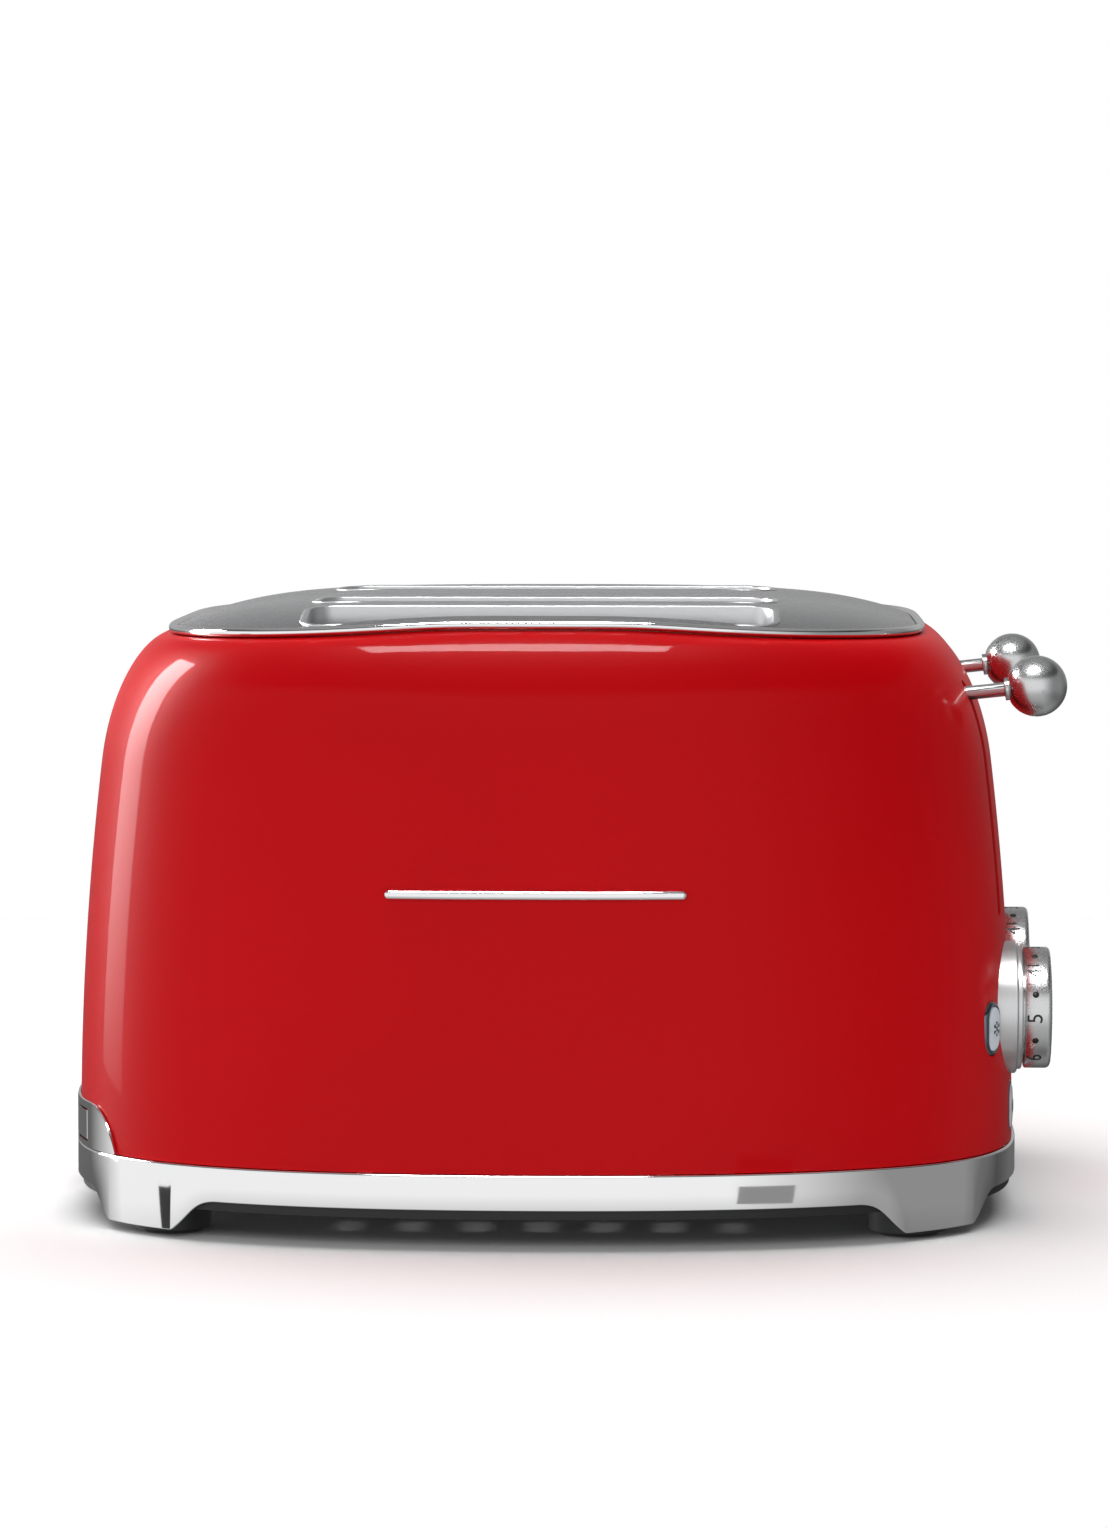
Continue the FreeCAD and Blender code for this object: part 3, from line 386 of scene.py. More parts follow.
body = {"bottom": shellLow[2], "wall": 1.2, "halfX": (shellHigh[0] - shellLow[0]) / 2, "halfY": shellHigh[1],
        "powerX": 2.2, "powerY": 4.5, "powerBlend": 3, "bowX": 4.8e-4, "bowY": 3.2e-4, "steep": 12.0,
        "crownStartX": 150.0, "crownTopX": 191.8, "crownStartY": 158.0, "crownTopY": 195.8}
mouth = {"halfX": 125.0, "halfY": 139.5, "powerX": 3.2, "powerY": 4.2}


def outlineRadius(angle, halfX, halfY, powerX, powerY):
    # radius r where (r cos / halfX)^powerX + (r sin / halfY)^powerY = 1, by halving
    a = np.abs(np.cos(angle)) / halfX
    b = np.abs(np.sin(angle)) / halfY
    low = np.zeros_like(a)
    high = np.full_like(a, 400.0)
    for _ in range(42):
        middle = (low + high) / 2
        inside = (middle * a) ** powerX + (middle * b) ** powerY < 1
        low = np.where(inside, middle, low)
        high = np.where(inside, high, middle)
    return middle


def insetAt(z, bow, start, top, fullInset):
    # slight outward bow, then a crown that is a quarter of an ellipse, and steep past its top
    inset = bow * (np.minimum(z, top) - body["bottom"]) ** 2
    crownInset = fullInset - bow * (top - body["bottom"]) ** 2
    rise = np.clip((z - start) / (top - start), 0, 1)
    inset = inset + crownInset * (1 - np.sqrt(1 - rise * rise))
    return inset + body["steep"] * np.maximum(z - top, 0)


def bodySizes(z):
    # half length, half depth and the two powers of the outline at height z
    halfX = body["halfX"] - insetAt(z, body["bowX"], body["crownStartX"], body["crownTopX"],
                                    body["halfX"] - mouth["halfX"])
    halfY = body["halfY"] - insetAt(z, body["bowY"], body["crownStartY"], body["crownTopY"],
                                    body["halfY"] - mouth["halfY"])
    blend = np.clip((z - body["bottom"]) / (body["crownTopY"] - body["bottom"]), 0, 1) ** body["powerBlend"]
    powerX = body["powerX"] + (mouth["powerX"] - body["powerX"]) * blend
    powerY = body["powerY"] + (mouth["powerY"] - body["powerY"]) * blend
    return halfX, halfY, powerX, powerY


def bodyLevel(points):
    # below 1 inside the skin and above 1 outside
    halfX, halfY, powerX, powerY = bodySizes(points[:, 2])
    return (np.abs(points[:, 0] - midX) / halfX) ** powerX + (np.abs(points[:, 1]) / halfY) ** powerY


def bodyNormal(points):
    # steepest way out of the skin, from small steps each way
    step = 0.02
    slope = np.stack([bodyLevel(points + np.eye(3)[i] * step) - bodyLevel(points - np.eye(3)[i] * step)
                      for i in range(3)], -1)
    return slope / np.maximum(np.linalg.norm(slope, axis=1, keepdims=True), 1e-12)


def mouthRadius(angle):
    return outlineRadius(angle, mouth["halfX"], mouth["halfY"], mouth["powerX"], mouth["powerY"])


def rimHeight(angle):
    # height at which the skin's outline has come in to the mouth's
    goal = mouthRadius(angle)
    low = np.full_like(goal, body["crownStartX"])
    high = np.full_like(goal, body["crownTopY"] + 0.6)
    for _ in range(34):
        middle = (low + high) / 2
        wide = outlineRadius(angle, *bodySizes(middle)) > goal
        low = np.where(wide, middle, low)
        high = np.where(wide, high, middle)
    return middle


def shellPoints(columns, rows):
    # outline radius over (angle, height), with its inner wall one thickness in along the profile's normal
    angle = np.linspace(0, 2 * math.pi, columns, endpoint=False)
    rim = rimHeight(angle)[:, None]
    share = np.sin(np.linspace(0, 1, rows) * math.pi / 2)[None]
    z = body["bottom"] + (rim - body["bottom"]) * (0.55 * share + 0.45 * np.linspace(0, 1, rows)[None])
    wide = np.broadcast_to(angle[:, None], z.shape)
    radius = outlineRadius(wide, *bodySizes(z))
    alongR = np.gradient(radius, axis=1)
    alongZ = np.gradient(z, axis=1)
    length = np.hypot(alongR, alongZ)
    innerR = radius - body["wall"] * alongZ / length
    innerZ = z + body["wall"] * alongR / length
    innerZ[:, 0] = z[:, 0]
    allR = np.concatenate([radius, innerR[:, ::-1]], 1)
    allZ = np.concatenate([z, innerZ[:, ::-1]], 1)
    return np.stack([midX + allR * np.cos(angle)[:, None], allR * np.sin(angle)[:, None], allZ], -1)


def middleOf(node):
    low, high = boxMm(node)
    return (low + high) / 2


def wallAt(y, z):
    # X of the skin at the control end
    halfX, halfY, powerX, powerY = bodySizes(z)
    return midX + halfX * (1 - (np.abs(y) / halfY) ** powerY) ** (1 / powerX)


lever = {"ball": 10.0, "rod": 2.3, "collar": 3.7, "collarLong": 1.3, "flat": 1.0, "tilt": 6.0, "travel": 70.0,
         "slotGap": 0.6, "slotEnd": 1.5, "chamfer": 0.3, "gap": 0.1, "rodShort": 15.0}
hole = {"leverDeep": 30.0, "dial": 17.5, "dialDeep": 24.0, "buttonLong": 9.0, "buttonWide": 6.0,
        "buttonIn": 4.0, "buttonDeep": 26.0, "trayGap": 0.6, "trayOut": 9.0, "trayIn": 60.0}


def prismX(path, middle, halfDepth):
    # a cutter: an outline (y, z) pushed both ways along X and closed with centre points
    rows = []
    for x, scale in ((-halfDepth, 0.0), (-halfDepth, 1.0), (halfDepth, 1.0), (halfDepth, 0.0)):
        rows.append(np.stack([np.full(len(path), x), path[:, 0] * scale, path[:, 1] * scale], -1) + middle)
    return gridPiece("cutter", np.stack(rows, 0), wrapRows=False)


def trayCutter(number, startX):
    # a tray's mouth with its gap all round, through the wall at startX
    low, high = boxMm("crumb_tray_%d" % number)
    gap = hole["trayGap"]
    return boxCutter([startX - hole["trayOut"], low[1] - gap, low[2] - gap],
                     [startX + hole["trayIn"], high[1] + gap, high[2] + gap])


def makeShell():
    # the pressed skin, then the lever slots, dial holes, tray mouths and button holes cut out
    shell = gridPiece("outerShell", shellPoints(420, 96))
    cutters = []
    for number in (1, 2):
        armMid = middleOf("lever_arm_%d" % number)
        ballX, ballZ = boxMm("lever_ball_%d" % number)[1][[0, 2]] - lever["ball"]
        slope = math.tan(math.radians(lever["tilt"]))
        lowZ = ballZ - lever["travel"]
        top = ballZ - (ballX - wallAt(armMid[1], ballZ)) * slope + lever["slotEnd"]
        low = lowZ - (ballX - wallAt(armMid[1], lowZ)) * slope - lever["slotEnd"]
        halfWide = lever["rod"] + lever["slotGap"]
        path = stadiumPath((top - low) / 2 + halfWide, halfWide, 24)[0]
        cutters.append(prismX(path, np.array([shellHigh[0], armMid[1], (top + low) / 2]), hole["leverDeep"]))
        y, z = middleOf("dial_%d" % number)[1:]
        cutters.append(prismX(hole["dial"] * circle(64), np.array([shellHigh[0], y, z]), hole["dialDeep"]))
        cutters.append(trayCutter(number, shellLow[0]))
    for number in range(1, 7):
        y, z = middleOf("push_button_%d" % number)[1:]
        path = stadiumPath(hole["buttonLong"], hole["buttonWide"], 20)[0]
        cutters.append(prismX(path, np.array([shellHigh[0] - hole["buttonIn"], y, z]), hole["buttonDeep"]))
    addCut("outerShell", cutters)
    setNormals(shell, bodyNormal)
    return finished(shell, "housing", "body_red", redEnamel, "outer_shell")


makeShell()
print("body made")


bead = {"radius": 1.5, "lift": 1.65}
panel = {"top": boxMm("top_panel")[1][2] - 0.7, "edgeRise": 1.6, "inset": 1.8, "thick": 0.8, "powerX": 4.8,
         "powerY": 8.0}


def outwardOf(path):
    # level outward normal of a closed path that runs anticlockwise
    along = np.roll(path, -1, 0) - np.roll(path, 1, 0)
    out = np.stack([along[:, 1], -along[:, 0], np.zeros(len(path))], -1)
    return out / np.linalg.norm(out, axis=1, keepdims=True)


def makeBead():
    # a round wire carried along the mouth's outline, a hair above the enamel
    angle = np.linspace(0, 2 * math.pi, 480, endpoint=False)
    radius = mouthRadius(angle)
    height = rimHeight(angle) + bead["lift"]
    path = np.stack([midX + radius * np.cos(angle), radius * np.sin(angle), height], -1)
    points = carried(path, outwardOf(path), arc(0, 0, bead["radius"], 0, 345, 24))
    return finished(gridPiece("topBead", points), "housing", "bright_chrome", brightChrome, "top_bead")


def panelHeight(x, y):
    # dome: top less a drop that grows with a high power of the distance out
    angle = np.arctan2(y, x - midX)
    share = np.hypot(x - midX, y) / mouthRadius(angle)
    drop = panel["top"] - rimHeight(angle) - panel["edgeRise"]
    power = panel["powerX"] * np.cos(angle) ** 2 + panel["powerY"] * np.sin(angle) ** 2
    outside = 1 + power * (share - 1)
    return panel["top"] - drop * np.where(share <= 1, np.minimum(share, 1) ** power, outside)


def panelNormal(points):
    step = 0.05
    x, y = points[:, 0], points[:, 1]
    slopeX = (panelHeight(x + step, y) - panelHeight(x - step, y)) / (2 * step)
    slopeY = (panelHeight(x, y + step) - panelHeight(x, y - step)) / (2 * step)
    out = np.stack([-slopeX, -slopeY, np.ones(len(x))], -1)
    return out / np.linalg.norm(out, axis=1, keepdims=True)


slot = {"halfLong": 75.0, "halfWide": 17.0, "corner": 8.0, "cut": 0.9, "cutLow": 180.0, "cutHigh": 212.0,
        "lipOut": 2.3, "lipRise": 0.4, "lipDeep": 9.0, "hem": 0.4, "sunk": 0.3, "seat": 1.2}


slotMiddles = [middleOf("slot_liner_%d" % number) for number in range(1, 5)]


def makePanel():
    # polar grid of the dome with a turned-down edge, then the four slots cut out
    angle = np.linspace(0, 2 * math.pi, 360, endpoint=False)
    full = mouthRadius(angle) - panel["inset"]
    share = np.concatenate([np.linspace(0, 0.7, 22), np.linspace(0.72, 1.0, 26)])
    radius = full[:, None] * share[None]
    x = midX + radius * np.cos(angle)[:, None]
    y = radius * np.sin(angle)[:, None]
    top = np.stack([x, y, panelHeight(x, y)], -1)
    under = top[:, ::-1] - np.array([0, 0, panel["thick"]])
    piece = gridPiece("topPanel", np.concatenate([top, under], 1))
    cutters = []
    for middle in slotMiddles:
        path = roundedPath(slot["halfLong"] + slot["cut"], slot["halfWide"] + slot["cut"],
                           slot["corner"] + slot["cut"], 9)[0]
        rows = []
        for z, scale in ((slot["cutLow"], 0.0), (slot["cutLow"], 1.0), (slot["cutHigh"], 1.0),
                         (slot["cutHigh"], 0.0)):
            rows.append(np.stack([middle[0] + path[:, 0] * scale, middle[1] + path[:, 1] * scale,
                                  np.full(len(path), z)], -1))
        cutters.append(gridPiece("cutter", np.stack(rows, 0), wrapRows=False))
    addCut("topPanel", cutters)
    setNormals(piece, panelNormal)
    finished(piece, "housing", "panel_satin", satinSteel, "top_panel")


def makeLips():
    # rolled lip of each slot: a low round bead outside and a flange turned down into the slot
    bend = arc(slot["lipOut"] / 2, 0.0, slot["lipOut"] / 2, 0, 180, 13)
    bend = bend * [1, 2 * slot["lipRise"] / slot["lipOut"]]
    hem = slot["hem"]
    low = hem - slot["lipDeep"]
    profile = joined([slot["lipOut"], -slot["sunk"]], bend, [0.0, low], arc(hem, low, hem, 180, 360, 7),
                     [2 * hem, -slot["sunk"]])
    for number, middle in enumerate(slotMiddles, 1):
        path, out = roundedPath(slot["halfLong"], slot["halfWide"], slot["corner"], 14)
        x = middle[0] + path[:, 0][:, None] + out[:, 0][:, None] * profile[None, :, 0]
        y = middle[1] + path[:, 1][:, None] + out[:, 1][:, None] * profile[None, :, 0]
        seat = middle[:2] + path + out * slot["seat"]
        baseZ = panelHeight(seat[:, 0], seat[:, 1])
        lift = baseZ[:, None] + profile[None, :, 1]
        lip = gridPiece("slotLip%d" % number, np.stack([x, y, lift], -1))
        finished(lip, "housing", "panel_satin", lipSteel)


makeBead()
makePanel()
makeLips()
print("top made")


rearHigh = boxMm("rear_panel")[1]
band = {"out": 1.0, "wall": 1.2, "top": bandHigh[2], "bottom": 13.1, "leg": bandLow[2], "round": 0.8,
        "hem": 0.3, "frontTop": 109.5, "frontBottom": 118.0, "endTop": 108.5, "endBottom": 116.5,
        "flank": 7.0}
rear = {"halfWide": rearHigh[1], "rise": rearHigh[2] - body["bottom"], "flank": 18.0, "turn": 11.0,
        "lean": 2.0, "thick": 0.9, "gap": 0.1}


def evenOutline(offset, count):
    # base outline moved out by offset, resampled to even steps
    angle = np.linspace(0, 2 * math.pi, 4001)
    radius = outlineRadius(angle, body["halfX"] + offset, body["halfY"] + offset, body["powerX"],
                           body["powerY"])
    x = radius * np.cos(angle)
    y = radius * np.sin(angle)
    walked = np.concatenate([[0], np.cumsum(np.hypot(np.diff(x), np.diff(y)))])
    even = np.linspace(0, walked[-1], count, endpoint=False)
    path = np.stack([midX + np.interp(even, walked, x), np.interp(even, walked, y), np.zeros(count)], -1)
    return path, outwardOf(path)


def bezier(points, count=40):
    # cubic curve through two ends with two pulls
    t = np.linspace(0, 1, count)[:, None]
    p = np.asarray(points, float)
    return (1 - t) ** 3 * p[0] + 3 * (1 - t) ** 2 * t * p[1] + 3 * (1 - t) * t ** 2 * p[2] + t ** 3 * p[3]


def legDrop(distance, halfTop, halfBottom):
    # height of the band's lower edge at a distance from the middle of one side
    curve = bezier([[halfTop - band["flank"], band["bottom"]], [halfTop + 1, band["bottom"]],
                    [halfTop + 2, (band["bottom"] + band["leg"]) / 2], [halfBottom, band["leg"]]])
    return np.interp(np.abs(distance), curve[:, 0], curve[:, 1])


def makeBand():
    path, side = evenOutline(band["out"], 1200)
    low = np.maximum(legDrop(path[:, 0] - midX, band["frontTop"], band["frontBottom"]),
                     legDrop(path[:, 1], band["endTop"], band["endBottom"]))
    top, wall, bend, hem = band["top"], band["wall"], band["round"], band["hem"]
    upper = joined(arc(-bend, top - bend, bend, 0, 90, 8), [-wall, top])
    lower = joined([-wall, hem], [-wall + hem, 0.0], arc(-hem, hem, hem, 270, 360, 5))
    count = len(upper) + len(lower)
    profile = np.zeros((len(path), count, 2))
    profile[:, :len(upper)] = upper
    profile[:, len(upper):] = lower
    profile[:, len(upper):, 1] += low[:, None]
    bandPiece = gridPiece("baseBand", carried(path, side, profile))
    sharpen(bandPiece, 40)
    finished(bandPiece, "housing", "bright_chrome", brightChrome, "base_band")


def levelNormal(points):
    # the skin's normal at its foot, laid level
    flat = points.copy()
    flat[:, 2] = body["bottom"]
    out = bodyNormal(flat)
    out[:, 2] = 0
    return out / np.linalg.norm(out, axis=1, keepdims=True)


def makeRear():
    # raised plate over the tray mouths: its top edge sweeps down at both ends
    path, side = evenOutline(rear["thick"] + rear["gap"], 1600)
    keep = (path[:, 0] < midX) & (np.abs(path[:, 1]) < rear["halfWide"])
    order = np.argsort(-path[keep][:, 1])
    path = path[keep][order]
    side = side[keep][order]
    bottom = body["bottom"]
    inner = rear["halfWide"] - rear["flank"]
    curve = bezier([[inner, bottom + rear["rise"]], [inner + rear["turn"], bottom + rear["rise"]],
                    [rear["halfWide"] - rear["lean"], bottom + rear["rise"] / 2], [rear["halfWide"], bottom]])
    high = np.interp(np.abs(path[:, 1]), curve[:, 0], curve[:, 1])
    thick = rear["thick"]
    shape = joined([0, 0], [0, 0.92], [-0.2, 0.98], [-0.5, 1.0], [-thick, 1.0], [-thick, 0])
    profile = np.broadcast_to(shape, (len(path),) + shape.shape).copy()
    profile[..., 1] = bottom + profile[..., 1] * np.maximum(high - bottom, 0.05)[:, None]
    points = carried(path, side, profile)
    ends = [points[:1].mean(1, keepdims=True).repeat(points.shape[1], 1),
            points[-1:].mean(1, keepdims=True).repeat(points.shape[1], 1)]
    plate = gridPiece("rearPanel", np.concatenate([ends[0], points, ends[1]], 0), wrapRows=False)
    addCut("rearPanel", [trayCutter(number, boxMm("crumb_tray_%d" % number)[0][0]) for number in (1, 2)])
    setNormals(plate, levelNormal)
    finished(plate, "housing", "bright_chrome", brightChrome, "rear_panel")


makeBand()
makeRear()
print("base made")


dial = {"radius": 20.0, "thick": 9.3, "edge": 1.5, "dome": 0.7, "chamfer": 0.4, "hollow": 16.0, "floor": 13.0,
        "stem": 3.0, "digit": 7.2, "dot": 1.05, "fiveAt": 94.6, "spacing": 45.0, "ink": 0.06, "inkBack": 6.1,
        "tickAt": 4, "tickTurn": 9.0, "tickWide": 0.28, "tickLow": -1.3, "tickHigh": 2.4}
ring = {"outer": 21.75, "step": 20.4, "bore": 16.9, "stepDeep": 1.6, "sunk": 0.3, "bevel": 0.4, "edge": 0.5,
        "tail": 1.0}
button = {"halfLong": 7.2, "halfWide": 4.2, "edge": 0.9, "dome": 0.3, "proud": 1.6, "gap": 0.3, "bezel": 1.35,
          "bezelProud": 0.8, "bezelDeep": 3.0, "lowSunk": 0.7, "deep": 6.0}
sign = {"tip": 2.5, "root": 1.5, "twig": 0.9, "spread": 0.6, "bar": 1.8, "barGap": 1.5, "ring": 2.1,
        "halfWide": 0.2, "sunk": 0.12, "thick": 0.14}


def makeLever(number):
    centre = boxMm("lever_ball_%d" % number)[1] - lever["ball"]
    centre[1] = middleOf("lever_ball_%d" % number)[1]
    tilt = math.radians(lever["tilt"])
    along = np.array([math.cos(tilt), 0, math.sin(tilt)])
    flat = lever["ball"] - lever["flat"]
    swing = np.linspace(math.acos(flat / lever["ball"]), math.pi, 64)
    ballProfile = joined([-flat, 0], np.stack([-np.cos(swing), np.sin(swing)], -1) * lever["ball"])
    ball = gridPiece("leverBall%d" % number, turned(ballProfile, centre, along, 96), wrapColumns=False)
    finished(ball, "lever_%d" % number, "satin_knob", satinChrome, "lever_ball_%d" % number)
    reach = (centre[0] - boxMm("lever_arm_%d" % number)[0][0]) / math.cos(tilt) - lever["rodShort"]
    r, c, k = lever["rod"], lever["collar"], lever["chamfer"]
    near = -flat - lever["gap"]
    far = near - lever["collarLong"]
    rodProfile = joined([near, 0], [near, c - k], [near - k, c], [far + k, c], [far, c - k], [far, r + k],
                        [far - k, r], [-reach, r], [-reach, 0])
    rod = gridPiece("leverRod%d" % number, turned(rodProfile, centre, along, 48), wrapColumns=False)
    sharpen(rod, 50)
    finished(rod, "lever_%d" % number, "bright_chrome", brightChrome)


def makeDial(number):
    low, high = boxMm("dial_%d" % number)
    centre = np.array([high[0], (low[1] + high[1]) / 2, (low[2] + high[2]) / 2])
    d = dial
    crown = np.linspace(0, 1, 14)[:, None]
    face = np.concatenate([-d["dome"] * (crown ** 2), crown * (d["radius"] - d["edge"])], 1)
    corner = arc(-d["dome"] - d["edge"], d["radius"] - d["edge"], d["edge"], 0, 90, 8)
    back = low[0] - high[0]
    profile = joined(face, corner[1:], [-d["thick"] + d["chamfer"], d["radius"]],
                     [-d["thick"], d["radius"] - d["chamfer"]], [-d["thick"], d["hollow"]],
                     [-d["floor"], d["hollow"]], [-d["floor"], d["stem"]], [back, d["stem"]], [back, 0.0])
    cap = gridPiece("dialCap%d" % number, turned(profile, centre, [1, 0, 0], 128), wrapColumns=False)
    sharpen(cap, 45)
    finished(cap, "dial_body_%d" % number, "satin_knob", satinChrome, "dial_%d" % number)
    marks = []
    for index in range(1, 7):
        turn = d["fiveAt"] + (index - 5) * d["spacing"]
        marks.append(wrappedText(str(index), centre, turn))
        if index < 6:
            marks.append(wrappedDot(centre, turn + d["spacing"] / 2))
        if index == d["tickAt"]:
            marks.append(wrappedTick(centre, turn - d["tickTurn"]))
    joinPieces(marks, "dialMarks%d" % number)
    finished(marks[0], "dial_body_%d" % number, "black_plastic", blackInk)


def wrappedText(text, centre, turn):
    # a flat numeral with a little thickness, bent round the dial's edge
    curve = bpy.data.curves.new("numeral", "FONT")
    curve.body = text
    curve.size = dial["digit"]
    curve.extrude = dial["ink"]
    curve.align_x = "CENTER"
    curve.align_y = "CENTER"
    holder = bpy.data.objects.new("numeral", curve)
    bpy.context.scene.collection.objects.link(holder)
    bpy.context.view_layer.update()
    mesh = bpy.data.meshes.new_from_object(holder)
    bpy.data.objects.remove(holder)
    return bent(mesh, spotsOf(mesh), centre, turn)


def bent(mesh, spots, centre, turn):
    # flat x runs up round the edge, flat y along the axis towards the body, flat z out from the edge
    swing = math.radians(turn) - spots[:, 0] / dial["radius"]
    radius = dial["radius"] + spots[:, 2]
    place = np.stack([centre[0] - dial["inkBack"] - spots[:, 1], centre[1] - radius * np.sin(swing),
                      centre[2] + radius * np.cos(swing)], -1)
    mesh.vertices.foreach_set("co", (place * mm).ravel())
    work = bmesh.new()
    work.from_mesh(mesh)
    bmesh.ops.remove_doubles(work, verts=work.verts, dist=2e-7)
    bmesh.ops.recalc_face_normals(work, faces=work.faces)
    work.to_mesh(mesh)
    work.free()
    piece = bpy.data.objects.new("numeral", mesh)
    bpy.context.scene.collection.objects.link(piece)
    return piece


def wrappedDot(centre, turn):
    return wrappedSheet(dial["dot"] * circle(24), np.zeros(2), centre, turn)


def wrappedTick(centre, turn):
    wide, low, high = dial["tickWide"], dial["tickLow"], dial["tickHigh"]
    outline = np.array([[-wide, low], [wide, low], [wide, high], [-wide, high]])
    return wrappedSheet(outline, outline.mean(0), centre, turn)


def wrappedSheet(outline, middle, centre, turn):
    # a thin flat sheet, bent round the edge
    lift = np.array([0, 0, dial["ink"]])
    rim = np.concatenate([outline, np.zeros((len(outline), 1))], 1)
    core = np.tile([middle[0], middle[1], 0.0], (len(outline), 1))
    flat = gridPiece("mark", np.stack([core - lift, rim - lift, rim + lift, core + lift]), wrapRows=False)
    mesh = flat.data
    bpy.data.objects.remove(flat)
    return bent(mesh, spotsOf(mesh) / mm, centre, turn)


def makeRing(number):
    # stepped ring round the dial's root, its back following the wall
    centre = middleOf("dial_%d" % number)
    centre[0] = boxMm("dial_ring_%d" % number)[1][0]
    g = ring
    swing = np.linspace(0, 2 * math.pi, 144, endpoint=False)
    y = centre[1] + g["outer"] * np.cos(swing)
    z = centre[2] + g["outer"] * np.sin(swing)
    back = wallAt(y, z) - centre[0] - g["sunk"]
    shape = joined([0.0, g["bore"]], [0.0, g["step"] - g["bevel"]], [-g["bevel"], g["step"]],
                   [-g["stepDeep"], g["step"]], [-g["stepDeep"], g["outer"] - g["edge"]],
                   [-g["stepDeep"] - g["edge"], g["outer"]])
    rows = np.broadcast_to(shape, (len(swing),) + shape.shape)
    tail = np.zeros((len(swing), 2, 2))
    tail[:, 0, 0] = back
    tail[:, 0, 1] = g["outer"]
    tail[:, 1, 0] = back - g["tail"]
    tail[:, 1, 1] = g["bore"]
    profile = np.concatenate([rows, tail], 1)
    points = np.stack([centre[0] + profile[..., 0], centre[1] + profile[..., 1] * np.cos(swing)[:, None],
                       centre[2] + profile[..., 1] * np.sin(swing)[:, None]], -1)
    piece = gridPiece("dialRing%d" % number, points)
    sharpen(piece, 40)
    finished(piece, "housing", "satin_knob", mattChrome, "dial_ring_%d" % number)


def makeButton(number):
    # a cap and its bezel: both lean with the wall, x = wall + lean * (y - middle) + lift
    y0, z0 = middleOf("push_button_%d" % number)[1:]
    wall = wallAt(y0, z0) - (button["lowSunk"] if number in (3, 6) else 0)
    lean = wallAt(y0 + 0.5, z0) - wallAt(y0 - 0.5, z0)
    b = button

    def placed(lift, across, along):
        return np.stack([wall + lift + lean * across, y0 + across, z0 + along], -1)

    path, out = stadiumPath(b["halfLong"], b["halfWide"], 22, 4)
    face = b["proud"] - b["dome"]
    core = path - out * b["edge"]
    rows = [placed(face + b["dome"] * (1 - share * share), core[:, 0] * share, core[:, 1] * share)
            for share in (0.0, 0.3, 0.6, 0.85)]
    for swing in np.radians(np.linspace(0, 90, 7)):
        spot = path - out * b["edge"] * (1 - math.sin(swing))
        rows.append(placed(face - b["edge"] * (1 - math.cos(swing)), spot[:, 0], spot[:, 1]))
    rows.append(placed(-b["deep"], path[:, 0], path[:, 1]))
    rows.append(placed(-b["deep"], path[:, 0] * 0, path[:, 1] * 0))
    cap = gridPiece("buttonCap%d" % number, np.stack(rows), wrapRows=False)
    finished(cap, "button_%d" % number, "button_plastic", paleAcrylic, "push_button_%d" % number)
    makeIcon(number, placed)
    path, out = stadiumPath(b["halfLong"] + b["gap"], b["halfWide"] + b["gap"], 26, 4)
    w, proud, deep = b["bezel"], b["bezelProud"], b["bezelDeep"]
    shape = [(0.0, -deep), (0.0, proud - 0.35), (0.12, proud - 0.1), (0.4, proud), (0.75, proud - 0.02),
             (w - 0.25, proud - 0.35), (w, proud - 0.9), (w, -deep)]
    rows = [placed(lift, path[:, 0] + out[:, 0] * wide, path[:, 1] + out[:, 1] * wide) for wide, lift in shape]
    bezel = gridPiece("buttonBezel%d" % number, np.stack(rows))
    stoodFor = ["button_bezels"] if number == 1 else []
    finished(bezel, "housing", "bright_chrome", darkChrome, *stoodFor)


def makeIcon(number, placed):
    # printed sign: a snowflake, three bars or a ring, made of short thin strokes
    kind = ("flake", "bars", "ring")[(number - 1) % 3]
    if kind == "flake":
        strokes = []
        for turn in np.radians([90, 30, -30]):
            tip = sign["tip"] * np.array([math.cos(turn), math.sin(turn)])
            strokes.append((-tip, tip))
        for turn in np.radians(np.arange(30, 390, 60)):
            root = sign["root"] * np.array([math.cos(turn), math.sin(turn)])
            for side in (-sign["spread"], sign["spread"]):
                twig = sign["twig"] * np.array([math.cos(turn + side), math.sin(turn + side)])
                strokes.append((root, root + twig))
    elif kind == "bars":
        high = sign["bar"]
        strokes = [(np.array([x, -high]), np.array([x, high])) for x in (-sign["barGap"], 0.0, sign["barGap"])]
    else:
        corners = sign["ring"] * circle(12)
        strokes = list(zip(corners, np.roll(corners, -1, 0)))
    sheets = []
    for start, stop in strokes:
        along = (stop - start) / np.linalg.norm(stop - start)
        side = np.array([-along[1], along[0]]) * sign["halfWide"]
        outline = np.array([start - side, stop - side, stop + side, start + side])
        middle = np.tile(outline.mean(0), (4, 1))
        base = button["proud"] - sign["sunk"]
        face = base + sign["thick"]
        rows = [placed(base, *middle.T), placed(base, *outline.T), placed(face, *outline.T),
                placed(face, *middle.T)]
        sheets.append(gridPiece("stroke", np.stack(rows), wrapRows=False))
    joinPieces(sheets, "buttonSign%d" % number)
    finished(sheets[0], "button_%d" % number, "black_plastic", blackInk)


def joinPieces(pieces, name):
    with bpy.context.temp_override(active_object=pieces[0], object=pieces[0], selected_objects=pieces,
                                   selected_editable_objects=pieces):
        bpy.ops.object.join()
    pieces[0].name = name


for number in (1, 2):
    makeLever(number)
    makeDial(number)
    makeRing(number)
for number in range(1, 7):
    makeButton(number)
print("controls made")


badge = {"rise": 1.92, "profile": [(0.0, 1.0), (0.5, 0.98), (0.75, 0.86), (0.92, 0.6), (1.0, 0.25),
                                  (1.0, -0.2), (0.0, -0.2)]}


